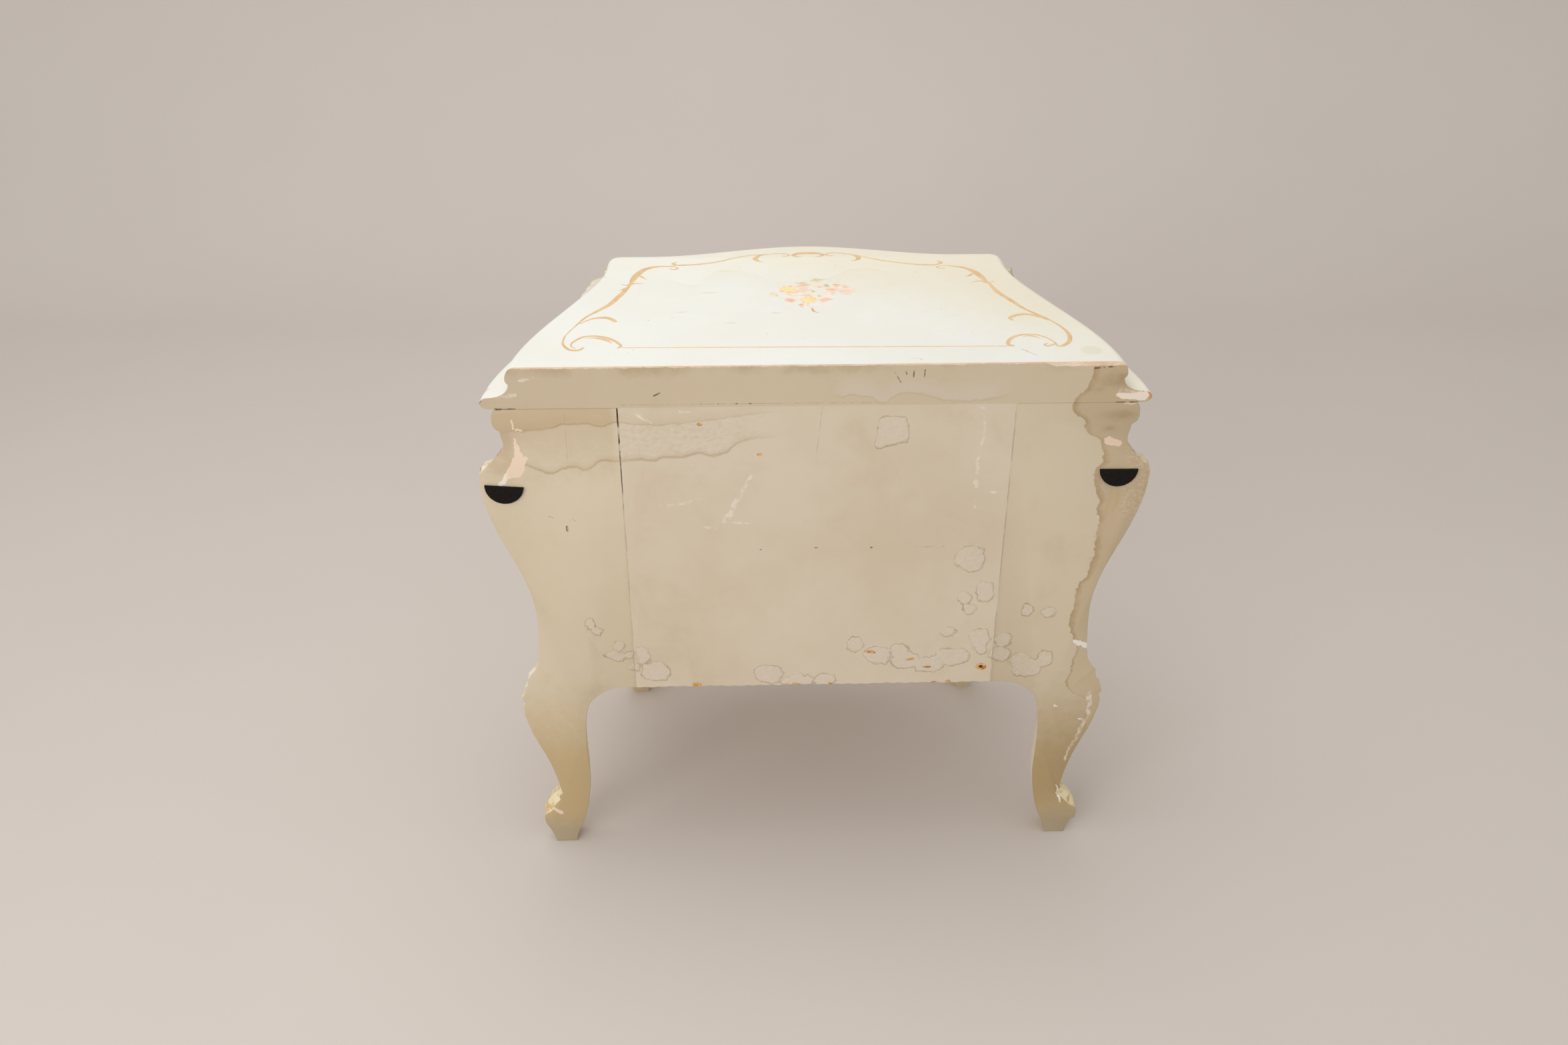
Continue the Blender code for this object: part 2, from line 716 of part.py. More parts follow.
def make_drawer_box(name, low, high):
    """The two grooved sides, the back and the bottom of a drawer."""
    foot = low + GAP
    head = high - DRAWER_HEADROOM
    groove = foot + GROOVE_HEIGHT
    floor = groove + GAP + DRAWER_BOTTOM_THICKNESS
    inner = DRAWER_HALF - DRAWER_SIDE_THICKNESS
    length = seat_depth() - GAP - DRAWER_REAR
    section = [
        (DRAWER_HALF, foot),
        (DRAWER_HALF, head),
        (inner, head),
        (inner, floor + GAP),
        (inner + GROOVE_DEPTH, floor + GAP),
        (inner + GROOVE_DEPTH, groove),
        (inner, groove),
        (inner, foot),
    ]
    boards = []
    for side_name, side in (("left", 1), ("right", -1)):
        outline = [(side * x, z) for x, z in section]
        frame = upright(DRAWER_REAR + length / 2)
        boards.append(add_board(f"{name}_drawer_{side_name}_side", outline, length, frame, BARE_WOOD))
    back_x = (-inner + GAP, inner - GAP)
    back_depth = (DRAWER_REAR, DRAWER_REAR + DRAWER_BACK_THICKNESS)
    back_height = (floor + GAP, head - DRAWER_BACK_INSET)
    boards.append(add_box(name + "_drawer_back", back_x, back_depth, back_height, BARE_WOOD))

    edge = inner + GROOVE_DEPTH - GAP
    columns = [-edge, *drawer_columns()[1:-1], edge]
    bottom = [(-edge, DRAWER_REAR), (edge, DRAWER_REAR)]
    for x in columns[::-1]:
        front = min(drawer_front_back(x, floor), drawer_front_back(x, groove))
        bottom.append((x, front - FLOOR_PLAY))
    in_plan = [(x, BACK_Y - depth) for x, depth in bottom]
    middle = level(floor - DRAWER_BOTTOM_THICKNESS / 2)
    boards.append(add_board(name + "_drawer_bottom", in_plan, DRAWER_BOTTOM_THICKNESS, middle, BARE_WOOD))
    return boards


def pull_frames(x, height):
    """Frames of a pull on the drawer front: square to its face for the posts, and upright for the bail."""
    feet = [at_plan(place, front_face(place, height), height) for place in (x - PULL_HALF, x + PULL_HALF)]
    across = (feet[1] - feet[0]).normalized()
    rise = Vector((0.0, -slope_of(lambda z: front_face(x, z), height), 1.0))
    inward = rise.cross(across).normalized()
    pivot = (feet[0] + feet[1]) / 2 - inward * POST_REACH
    frames = []
    for direction in (inward, Vector((0.0, 0.0, 1.0)).cross(across)):
        turn = Matrix((across, direction, across.cross(direction))).transposed().to_4x4()
        frames.append(Matrix.Translation(pivot) @ turn)
    return frames


def nut_seat(frame):
    """Place behind the bail's axis where a whole nut clears the hollow inner face of the drawer front."""
    inward = frame.col[1].y
    places = []
    for angle in arc(ROUND_SIDES, last=2 * math.pi):
        place = POST_REACH + DRAWER_FRONT_THICKNESS
        for _ in range(SEAT_STEPS):
            point = frame @ Vector((NUT_RADIUS * math.cos(angle), place, NUT_RADIUS * math.sin(angle)))
            face = drawer_front_back(point.x, point.z)
            place += (BACK_Y - point.y - face) / inward
        places.append(place)
    return max(places) + GAP


def post_profile(nut_top):
    """A pull post as (radius, place behind the bail's axis), from its head through the drawer front and nut."""
    shank_end = nut_top + SHANK_END
    turns = arc(ARC_STEPS + 1, last=HEAD_TURN)
    head = [(HEAD_RADIUS * math.sin(a), -HEAD_RADIUS * math.cos(a)) for a in turns]
    foot = POST_REACH - PLATE_PLAY - PLATE_THICKNESS / 2
    return [*head, (NECK_RADIUS, foot), (SHANK_RADIUS, foot), (SHANK_RADIUS, shank_end), (0.0, shank_end)]


def add_plate(name, middle, height):
    """A pull's back plate, bent to the drawer front, widest at the two posts."""
    rises = ((0.0, PLATE_MIDDLE_RISE), (PULL_HALF, PLATE_POST_RISE), (PLATE_HALF, PLATE_END_RISE))
    rings = []
    for along in np.linspace(-PLATE_HALF, PLATE_HALF, FRONT_COLUMNS):
        x = middle + along
        rise = eased(rises, abs(along))
        heights = (height - rise, height, height + rise)
        inner = [at_plan(x, front_face(x, z) + PLATE_PLAY, z) for z in heights]
        outer = [at_plan(x, front_face(x, z) + PLATE_PLAY + PLATE_THICKNESS, z) for z in heights[::-1]]
        rings.append(inner + outer)
    return add_loft(name, rings, BRASS)


def bail_path():
    """Half of a bail as (x, z) from the pin in the post's head, round the bend and down to the grip."""
    bend_x = PULL_HALF - HEAD_RADIUS - BAIL_OFFSET
    grip = bend_x - BAIL_BEND
    pin = [(PULL_HALF, 0.0)]
    bend = [(bend_x - BAIL_BEND * math.sin(a), BAIL_BEND * (math.cos(a) - 1)) for a in arc(ARC_STEPS)]
    drop = BAIL_DROP - BAIL_BEND
    sweep = [(grip * math.cos(a), -BAIL_BEND - drop * math.sin(a)) for a in arc(ARC_STEPS + 2)]
    return pin + bend + sweep[1:]


def add_bail(name, pivot):
    curve = bpy.data.curves.new(name, "CURVE")
    curve.dimensions = "3D"
    curve.bevel_depth = BAIL_RADIUS
    curve.bevel_resolution = BAIL_STEPS
    curve.use_fill_caps = True
    half = bail_path()
    path = half + [(-x, z) for x, z in reversed(half[:-1])]
    spline = curve.splines.new("POLY")
    spline.points.add(len(path) - 1)
    for point, (x, z) in zip(spline.points, path):
        point.co = (x, 0.0, z, 1.0)
    bail = bpy.data.objects.new(name, curve)
    PARTS.objects.link(bail)
    finish(bail, BRASS)
    bail.parent = pivot


def make_pull(name, side, height, slide, shank_holes):
    """A bail pull: plate and posts in one casting, a nut on each shank, and a bail in the posts' heads."""
    post_frame, bail_frame = pull_frames(side * PULL_X, height)
    bore = (SHANK_RADIUS + HOLE_PLAY) / math.cos(math.pi / SMALL_SIDES)
    posts = bmesh.new()
    pin_holes = bmesh.new()
    pieces = [add_plate(name + "_pull_plate", side * PULL_X, height)]
    for place, end in (("outer", side), ("inner", -side)):
        frame = post_frame @ Matrix.Translation((end * PULL_HALF, 0.0, 0.0))
        seat = nut_seat(frame)
        nut_top = seat + NUT_THICKNESS
        turned_into(posts, post_profile(nut_top), frame, ROUND_SIDES)
        nut_profile = ((bore, seat), (NUT_RADIUS, seat), (NUT_RADIUS, nut_top), (bore, nut_top))
        nut = bmesh.new()
        turned_into(nut, nut_profile, frame, SMALL_SIDES, ring=True)
        pieces.append(add_mesh(f"{name}_{place}_nut", nut, BRASS))
        mouth = frame @ Vector((0.0, POST_REACH - HEAD_RADIUS, 0.0))
        rod_into(shank_holes, mouth, frame @ Vector((0.0, nut_top, 0.0)), SHANK_RADIUS + HOLE_PLAY, ROUND_SIDES)
        pin_mouth = frame @ Vector((-end * (HEAD_RADIUS + BAIL_OFFSET), 0.0, 0.0))
        pin_end = frame @ Vector((end * PIN_SEAT, 0.0, 0.0))
        rod_into(pin_holes, pin_mouth, pin_end, BAIL_RADIUS + HOLE_PLAY, ROUND_SIDES)
    combine(pieces[0], add_cutter(name + "_posts", posts), "UNION")
    combine(pieces[0], add_cutter(name + "_pin_holes", pin_holes), "DIFFERENCE")
    add_bail(name + "_bail", add_empty(name + "_bail_pivot", bail_frame, slide))
    return pieces


def make_drawers(root):
    for name, (low, high) in OPENINGS.items():
        middle = (low + high) / 2
        slide = add_empty(name + "_drawer_slide", level(middle), root)
        front = make_drawer_front(name, low, high)
        pieces = [front, *make_drawer_box(name, low, high)]
        shank_holes = bmesh.new()
        for side_name, side in (("left", 1), ("right", -1)):
            pieces += make_pull(f"{name}_{side_name}", side, middle, slide, shank_holes)
        combine(front, add_cutter(name + "_shank_holes", shank_holes), "DIFFERENCE")
        for piece in pieces:
            attach(piece, slide)


def make_nightstand():
    root = add_empty("nightstand_root", Matrix.Identity(4))
    make_top()
    make_back_legs()
    make_front_legs()
    make_side_panels()
    make_front_rails()
    panel = make_back_panel()
    rails = make_rear_rails()
    make_bottom_board()
    make_runners()
    make_glue_blocks()
    make_brads(panel, rails["upper"])
    make_pads()
    for part in list(PARTS.objects):
        if part != root:
            attach(part, root)
    make_drawers(root)


clear_scene()
PARTS = new_collection("nightstand")
CUTTERS = new_collection("cutters")
make_nightstand()
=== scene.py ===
"""A bombe nightstand seen from behind: worn cream paint, a stained back, painted scrolls and brass pulls."""

import math

import bpy
import numpy as np
from mathutils import Matrix, Vector


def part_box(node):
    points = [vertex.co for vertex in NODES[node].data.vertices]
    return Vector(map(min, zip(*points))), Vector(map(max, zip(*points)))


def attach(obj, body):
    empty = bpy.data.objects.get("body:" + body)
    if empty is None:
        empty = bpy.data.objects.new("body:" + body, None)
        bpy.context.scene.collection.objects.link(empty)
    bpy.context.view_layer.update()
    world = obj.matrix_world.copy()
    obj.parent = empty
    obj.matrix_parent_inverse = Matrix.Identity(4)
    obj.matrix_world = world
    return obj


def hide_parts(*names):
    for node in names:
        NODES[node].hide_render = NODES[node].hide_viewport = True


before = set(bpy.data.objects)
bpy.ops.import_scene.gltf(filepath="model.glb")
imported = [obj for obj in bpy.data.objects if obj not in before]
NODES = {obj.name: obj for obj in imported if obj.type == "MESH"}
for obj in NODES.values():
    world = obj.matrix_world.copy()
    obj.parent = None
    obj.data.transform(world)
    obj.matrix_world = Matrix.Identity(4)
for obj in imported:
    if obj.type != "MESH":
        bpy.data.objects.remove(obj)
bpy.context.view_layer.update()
SIDES = (("left", 1), ("right", -1))

# Main sizes of the solids, in metres. Depths are measured from the back
HEIGHT = 0.6365
UNDERSIDE = 0.591
CASE_TOP = 0.5907
BACK_Y = 0.1986
TOP_HALF = 0.304
TOP_FRONT_HALF = 0.234
SIDE_DEPTH = 0.328
CENTRE_DEPTH = 0.362
SIDE_SWEEP = 0.300
FRONT_SWEEP = 0.185
CORNER = 0.012
SHOULDER = 0.505
NECK = 0.547
WAIST = 0.332
APRON_BOTTOM = 0.236
APRON_TOP = 0.282
MID_RAIL = (0.412, 0.430)
TOP_RAIL_BOTTOM = 0.565
ARCH_START = 0.209
SIDE_BULGE = 0.038
FRONT_BULGE = 0.028
LEG_DEPTH = 0.026
POST_BACK = 0.282
OPENING_HALF = 0.188
SEAM = 0.205
SIDE_THICKNESS = 0.016
FRONT_THICKNESS = 0.022
GAP = 0.0003


# Curves


def ease(share):
    """A smooth step of a share between 0 and 1."""
    return share * share * (3.0 - 2.0 * share)


def eased(stations, at):
    """A value read smoothly between (place, value) stations."""
    for (low, first), (high, last) in zip(stations, stations[1:]):
        if at <= high:
            break
    return first + (last - first) * ease(min(max((at - low) / (high - low), 0.0), 1.0))


def side_line(depth):
    return eased(((0.0, TOP_HALF), (SIDE_SWEEP, TOP_FRONT_HALF)), depth)


def front_line(x):
    return eased(((0.0, CENTRE_DEPTH), (FRONT_SWEEP, SIDE_DEPTH)), abs(x))


def case_reach(height, bulge):
    """How far the case stands out past the outline of the top at a height."""
    bead = UNDERSIDE - 0.015
    stations = (
        (APRON_BOTTOM, 0.010), (WAIST, 0.003), (SHOULDER, bulge), (NECK, 0.018), (bead, 0.0258),
        (UNDERSIDE, 0.0258),
    )
    return eased(stations, height)


def front_face(x, height):
    return front_line(x) + case_reach(height, FRONT_BULGE)


def side_face(depth, height):
    return side_line(depth) + case_reach(height, SIDE_BULGE)


def slope_of(curve, at, step=1e-5):
    return (curve(at + step) - curve(at - step)) / (2 * step)


def smooth_path(points, steps):
    """A curve through the points, with steps to each stretch."""
    points = np.array(points, float)
    padded = np.vstack((2 * points[0] - points[1], points, 2 * points[-1] - points[-2]))
    out = []
    for p0, p1, p2, p3 in zip(padded, padded[1:], padded[2:], padded[3:]):
        square, cube = 2 * p0 - 5 * p1 + 4 * p2 - p3, 3 * p1 - p0 - 3 * p2 + p3
        for t in np.linspace(0.0, 1.0, steps, endpoint=False):
            out.append(0.5 * (2 * p1 + (p2 - p0) * t + square * t**2 + cube * t**3))
    return np.array(out + [points[-1]])


def runs_path(runs, steps):
    """Smooth stretches that meet at sharp corners."""
    parts = [smooth_path(run, steps) for run in runs]
    return np.vstack([part[:-1] for part in parts] + [parts[-1][-1:]])


def window(value, low, high, soft):
    """1 between low and high, fading to 0 over soft on both sides."""
    value = np.asarray(value, float)
    rise = np.clip((value - low + soft) / soft, 0, 1)
    fall = np.clip((high + soft - value) / soft, 0, 1)
    return ease(rise) * ease(fall)


def unit_runs(path):
    """Directions along a path."""
    run = np.gradient(path, axis=0)
    return run / np.maximum(np.linalg.norm(run, axis=1, keepdims=True), 1e-9)


def at_plan(x, depth, height):
    return Vector((x, BACK_Y - depth, height))


# Meshes


def piece(name, verts, faces, materials, body, slot, replaces=(), angle=40.0, picks=None):
    """A closed mesh that rides on a body."""
    mesh = bpy.data.meshes.new(name)
    mesh.from_pydata([tuple(v) for v in verts], [], faces)
    for material in materials if isinstance(materials, (list, tuple)) else [materials]:
        mesh.materials.append(material)
    if picks is not None:
        mesh.polygons.foreach_set("material_index", picks)
    mesh.validate()
    mesh.polygons.foreach_set("use_smooth", [len(face.vertices) < 5 for face in mesh.polygons])
    mesh.set_sharp_from_angle(angle=math.radians(angle))
    item = bpy.data.objects.new(name, mesh)
    bpy.context.scene.collection.objects.link(item)
    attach(item, body)
    if replaces:
        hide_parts(*replaces)
    return item


def loft(rings):
    """A tube through rings of equal counts, closed at both ends and facing outwards."""
    count = len(rings[0])
    verts = [point for ring in rings for point in ring]
    faces = []
    for a in range(0, len(verts) - count, count):
        for i in range(count):
            j = (i + 1) % count
            faces.append((a + i, a + j, a + count + j, a + count + i))
    faces.append(tuple(reversed(range(count))))
    faces.append(tuple(range(len(verts) - count, len(verts))))
    return verts, outward(verts, faces)


def outward(verts, faces):
    """Turns every face round if the solid is inside out."""
    points = np.array([tuple(v) for v in verts])
    volume = 0.0
    for face in faces:
        a = points[face[0]]
        for i in range(1, len(face) - 1):
            volume += np.dot(a, np.cross(points[face[i]], points[face[i + 1]]))
    return faces if volume > 0 else [tuple(reversed(face)) for face in faces]


def lofted(name, rings, materials, body, slot, node, angle=40.0, picks=None):
    """A piece through rings, in the place of a solid of the frame."""
    return piece(name, *loft(rings), materials, body, slot, [node], angle, picks)


def add_tube(verts, faces, rings):
    """Adds a closed tube through rings to a mesh."""
    more_verts, more_faces = loft(rings)
    start = len(verts)
    verts.extend(more_verts)
    faces.extend(tuple(start + i for i in face) for face in more_faces)


def ribbon(verts, faces, path, widths, place, low, high):
    """Adds a closed strip of paint along a path on a surface, given as place(u, v, lift)."""
    run = unit_runs(path)
    side = np.stack((-run[:, 1], run[:, 0]), axis=1)
    edge = high * 0.6
    rings = []
    for point, across, width in zip(path, side, widths):
        left, right = point + across * width / 2, point - across * width / 2
        spots = ((left, low), (left, edge), (point, high), (right, edge), (right, low))
        rings.append([place(*spot, lift) for spot, lift in spots])
    add_tube(verts, faces, rings)


def swell(count, first, middle, last, peak=0.5):
    """Widths that swell from first to middle and fall to last."""
    t = np.linspace(0, 1, count)
    rise = ease(np.clip(t / peak, 0, 1))
    fall = ease(np.clip((1 - t) / (1 - peak), 0, 1))
    return np.where(t < peak, first + (middle - first) * rise, last + (middle - last) * fall)


# Materials


class Finish:
    """The nodes of one material. Sockets and plain values can be given alike."""

    def __init__(self, name, roughness=0.5, metallic=0.0):
        self.material = bpy.data.materials.new(name)
        self.material.use_nodes = True
        self.tree = self.material.node_tree
        self.tree.nodes.clear()
        self.shader = self.node("ShaderNodeBsdfPrincipled")
        output = self.node("ShaderNodeOutputMaterial")
        self.tree.links.new(self.shader.outputs[0], output.inputs[0])
        self.set("Roughness", roughness)
        self.set("Metallic", metallic)
        self.place = self.node("ShaderNodeTexCoord").outputs["Object"]
        split = self.node("ShaderNodeSeparateXYZ", self.place)
        self.x, self.y, self.z = split.outputs

    def node(self, kind, *values, **settings):
        made = self.tree.nodes.new(kind)
        for key, value in settings.items():
            setattr(made, key, value)
        for socket, value in zip(made.inputs, values):
            self.feed(socket, value)
        return made

    def feed(self, socket, value):
        if isinstance(value, bpy.types.NodeSocket):
            self.tree.links.new(value, socket)
        else:
            socket.default_value = value

    def set(self, name, value):
        self.feed(self.shader.inputs[name], value)

    def math(self, operation, *values, clamp=False):
        return self.node("ShaderNodeMath", *values, operation=operation, use_clamp=clamp).outputs[0]

    def add(self, *values):
        total = values[0]
        for value in values[1:]:
            total = self.math("ADD", total, value)
        return total

    def times(self, *values):
        total = values[0]
        for value in values[1:]:
            total = self.math("MULTIPLY", total, value)
        return total

    def vector(self, operation, *values, value=False):
        made = self.node("ShaderNodeVectorMath", *values, operation=operation)
        return made.outputs["Value" if value else "Vector"]

    def noise(self, scale, detail=3, roughness=0.55, stretch=None, distortion=0.0, output="Fac"):
        place = self.vector("MULTIPLY", self.place, stretch) if stretch else self.place
        made = self.node("ShaderNodeTexNoise")
        values = {"Vector": place, "Scale": scale, "Detail": detail, "Roughness": roughness}
        for name, value in {**values, "Distortion": distortion}.items():
            self.feed(made.inputs[name], value)
        return made.outputs[output]

    def spread(self, value, low, high, first=0.0, last=1.0):
        """A smooth step of a value from low to high."""
        made = self.node("ShaderNodeMapRange", value, low, high, first, last, interpolation_type="SMOOTHSTEP")
        return made.outputs[0]

    def fade(self, value, low, high, strength=1.0):
        """A smooth fall to 0 of a value from low to high."""
        return self.spread(value, low, high, strength, 0.0)

    def between(self, value, start, full, last, end):
        """1 between full and last, fading to 0 at start and end."""
        return self.times(self.spread(value, start, full), self.fade(value, last, end))

    def patches(self, scale, detail, low, high, first=0.0, last=1.0):
        """Noise drawn apart into patches."""
        return self.spread(self.noise(scale, detail), low, high, first, last)

    def around_zero(self, scale, detail, roughness):
        return self.math("SUBTRACT", self.noise(scale, detail, roughness), 0.5)

    def shaky(self, value, wide, fine=None):
        """A value shaken by the finish's wide and fine noise."""
        value = self.add(value, self.times(self.jitter, wide))
        return value if fine is None else self.add(value, self.times(self.ragged, fine))

    def mix(self, factor, first, last):
        return self.node("ShaderNodeMixRGB", factor, first, last).outputs[0]

    def coat(self, amount, paint):
        """Lays a colour over the colour that is there."""
        self.colour = self.mix(amount, self.colour, paint)

    def patch(self, field, low, high, strength, paint, *broken):
        """Lays a colour over the inside of a distance field, broken up by other values."""
        if field is not None:
            self.coat(self.times(self.fade(field, low, high, strength), *broken), paint)

    def bump(self, height, strength, distance):
        made = self.node("ShaderNodeBump")
        for name, value in {"Strength": strength, "Distance": distance, "Height": height}.items():
            self.feed(made.inputs[name], value)
        return made.outputs[0]

    def curve(self, value, low, high, points, bottom, top):
        """A value read from a drawn curve of (place, value) points."""
        share = self.node("ShaderNodeMapRange", value, low, high, 0.0, 1.0).outputs[0]
        made = self.node("ShaderNodeFloatCurve", 1.0, share)
        drawn = made.mapping.curves[0].points
        scaled = [((p - low) / (high - low), (v - bottom) / (top - bottom)) for p, v in sorted(points)]
        while len(drawn) < len(scaled):
            drawn.new(0.5, 0.5)
        for knot, spot in zip(drawn, scaled):
            knot.location = spot
        made.mapping.update()
        return self.node("ShaderNodeMapRange", made.outputs[0], 0.0, 1.0, bottom, top).outputs[0]


def rgb(red, green, blue):
    """A colour as it looks on a screen, turned to the linear values that a shader takes."""
    linear = [((c / 255 + 0.055) / 1.055) ** 2.4 if c > 10 else c / 255 / 12.92 for c in (red, green, blue)]
    return (*linear, 1.0)


def cream_finish(name, base, aged, grime, roughness):
    """Old satin paint: clouded colour, brush lines, grime in patches and small chips to the ground coat."""
    f = Finish(name)
    f.colour = f.mix(f.patches(7, 4, 0.35, 0.7), base, aged)
    f.coat(f.spread(f.noise(16, 6, 0.65, distortion=0.6), 0.58, 0.74, 0.0, 0.45), grime)
    chips = f.times(f.spread(f.noise(95, 2, 0.5), 0.735, 0.755), f.patches(9, 1, 0.52, 0.6))
    f.coat(chips, rgb(196, 158, 112))
    f.set("Base Color", f.colour)
    f.set("Roughness", f.patches(30, 3, 0.3, 0.7, roughness - 0.06, roughness + 0.12))
    brush = f.noise(60, 2, 0.5, stretch=(1.0, 1.0, 0.12))
    crackle = f.noise(240, 2, 0.6)
    height = f.add(f.times(brush, 0.6), f.times(crackle, 0.25), f.times(chips, -0.8))
    f.set("Normal", f.bump(height, 0.25, 0.0006))
    return f


def wood_finish(name, light, dark, along):
    """Plain unfinished board with grain along one axis."""
    f = Finish(name)
    stretch = [1.2 if axis == along else 14.0 for axis in "xyz"]
    grain = f.noise(6, 6, 0.6, stretch=stretch, distortion=0.8)
    fine = f.noise(40, 3, 0.6, stretch=stretch)
    f.colour = f.mix(f.spread(grain, 0.32, 0.68), light, dark)
    f.coat(f.spread(fine, 0.55, 0.75, 0.0, 0.35), rgb(112, 78, 46))
    f.set("Base Color", f.colour)
    f.set("Roughness", f.spread(grain, 0.3, 0.7, 0.62, 0.82))
    f.set("Normal", f.bump(f.add(grain, f.times(fine, 0.5)), 0.2, 0.0006))
    return f.material


def brass_finish():
    f = Finish("aged_brass", metallic=1.0)
    tarnish = f.spread(f.noise(55, 5, 0.65), 0.4, 0.68)
    f.set("Base Color", f.mix(tarnish, (0.72, 0.53, 0.24, 1.0), (0.34, 0.24, 0.11, 1.0)))
    f.set("Roughness", f.add(f.times(tarnish, 0.25), f.patches(180, 2, 0.3, 0.7, 0.26, 0.38)))
    f.set("Normal", f.bump(f.noise(220), 0.15, 0.0004))
    return f.material


def steel_finish():
    f = Finish("plain_steel", metallic=1.0)
    rust = f.patches(420, 3, 0.5, 0.7)
    f.set("Base Color", f.mix(rust, (0.5, 0.5, 0.5, 1.0), (0.24, 0.15, 0.09, 1.0)))
    f.set("Roughness", f.spread(rust, 0, 1, 0.38, 0.8))
    return f.material


def felt_finish():
    f = Finish("black_felt", 0.9)
    fibre = f.noise(900, 3, 0.7)
    dark, light = (0.004, 0.0032, 0.0026, 1.0), (0.014, 0.011, 0.009, 1.0)
    f.set("Base Color", f.mix(f.spread(fibre, 0.35, 0.75), dark, light))
    f.set("Specular IOR Level", 0.2)
    f.set("Normal", f.bump(fibre, 0.5, 0.0005))
    return f.material


def scroll_finish(name, light, dark):
    """Thin hand-painted colour that varies along the stroke."""
    f = Finish(name)
    load = f.spread(f.noise(60, 3, 0.6), 0.34, 0.68)
    streak = f.patches(420, 2, 0.45, 0.75, 0.0, 0.35)
    f.set("Base Color", f.mix(streak, f.mix(load, light, dark), rgb(244, 230, 204)))
    f.set("Roughness", f.spread(load, 0, 1, 0.45, 0.6))
    return f.material


def marked(f, across, along):
    """Gives a finish flat millimetre coordinates on its face, plain and shaken by noise."""
    f.across, f.along = across, along
    f.flat = f.shaken = f.node("ShaderNodeCombineXYZ", across, along, 0.0).outputs[0]
    for scale, amount in ((38, 8.0), (170, 4.5), (420, 2.4)):
        off = f.vector("SUBTRACT", f.noise(scale, 3, 0.5, output="Color"), (0.5, 0.5, 0.5))
        f.shaken = f.vector("ADD", f.shaken, f.vector("MULTIPLY", off, (amount, amount, 0.0)))


def blobs(f, at, spots, merge=2.0):
    """Distance in millimetres from the edge of (x, z, half width, half height) spots, below 0 inside."""
    field = None
    for x, z, rx, rz in spots:
        scaled = f.vector("MULTIPLY_ADD", at, (1 / rx, 1 / rz, 0.0), (-x / rx, -z / rz, 0.0))
        radius = min(rx, rz)
        far = f.math("MULTIPLY_ADD", f.vector("LENGTH", scaled, value=True), radius, -radius)
        field = far if field is None else f.math("SMOOTH_MIN", field, far, merge)
    return field


def strokes(f, at, lines):
    """Distance in millimetres from the edge of (x, z, x, z, half widths) strokes, below 0 inside."""
    field = None
    for x, z, end_x, end_z, half, *rest in lines:
        run = np.array((end_x - x, end_z - z, 0.0))
        off = f.vector("SUBTRACT", at, (x, z, 0.0))
        share = f.vector("DOT_PRODUCT", off, tuple(run / run.dot(run)), value=True)
        share = f.math("ADD", share, 0.0, clamp=True)
        along = f.node("ShaderNodeVectorMath", tuple(run), operation="SCALE")
        f.feed(along.inputs["Scale"], share)
        width = f.math("MULTIPLY_ADD", share, rest[0] - half, half) if rest else half
        far = f.math("SUBTRACT", f.vector("DISTANCE", off, along.outputs[0], value=True), width)
        field = far if field is None else f.math("MINIMUM", field, far)
    return field


def edge_line(f, field, half, soft):
    """1 along the zero of a field, fading over soft."""
    return f.fade(f.math("ABSOLUTE", field), half, half + soft)


# Marks on the back, in millimetres to the right of its middle and up from the floor

BLISTERS = (
    (-251, 323, 5, 6.5), (-244, 315, 5.5, 5.5), (-220, 295, 6.5, 7.5), (-226, 282, 11.5, 6),
    (-208, 282, 6, 5), (-195, 281, 8, 11.5), (-206, 263, 7.5, 5), (-181, 258, 16.5, 14), (-52, 252, 16, 13),
    (-16, 243, 17, 8), (13, 243, 12, 8), (189, 362, 11, 14), (167, 352, 7, 8.5), (174, 337, 8.5, 6.5),
    (151, 307, 8.5, 7), (188, 297, 12, 13), (192, 281, 5.5, 6), (47, 292, 9.5, 9.5), (73, 277, 16, 12),
    (98, 281, 10, 10), (107, 268, 16.5, 11), (134, 262, 16.5, 11), (158, 272, 19, 12), (216, 295, 9, 10),
    (212, 276, 11.5, 10), (236, 266, 13, 9), (246, 255, 16.5, 12), (264, 263, 9, 8), (266, 272, 8, 7.5),
    (240, 335, 6, 7), (262, 333, 9, 6), (170, 404, 16, 16),
)
LONG_BLISTERS = (
    (68.5, 573, 65.5, 549, 3.6), (68.5, 573.3, 89.5, 573, 3.6), (89.5, 573, 92, 552.5, 3.6),
    (66, 546.5, 91.5, 552.5, 5.0, 3.6), (79, 566, 78.5, 556.5, 10.5, 12.0),
)
GESSO = (
    (-313, 577, -311, 568, 0.9, 1.2), (-308, 566, -303, 566, 1.3, 0.8), (-311, 557, -309, 545, 1.2, 2.8),
    (-309, 545, -308, 531, 3.0, 6.0), (-301, 536, -307, 529, 2.6, 5.0), (-310, 531, -315, 521, 6.0, 7.0),
    (-306, 522, -311, 517, 2.6, 3.0), (-316, 521, -323, 515, 5.6, 3.6), (-323, 515, -331, 505, 3.2, 2.8),
    (305, 546, 314, 544, 4.4, 3.4), (297, 290, 303, 287, 2.2, 3.6), (304, 287, 310, 285, 2.4, 4.2),
    (308, 599, 334, 598, 3.0, 4.8), (315, 590.3, 340, 590, 0.7, 1.0), (-316, 55, -306, 47, 2.2, 3.0),
    (298, 75, 301, 63, 0.8, 1.8), (301, 63, 306, 50, 1.8, 1.0), (314, 180, 317, 179, 1.2, 1.0),
    (283, 199.5, 287, 198.5, 1.2, 0.9),
)
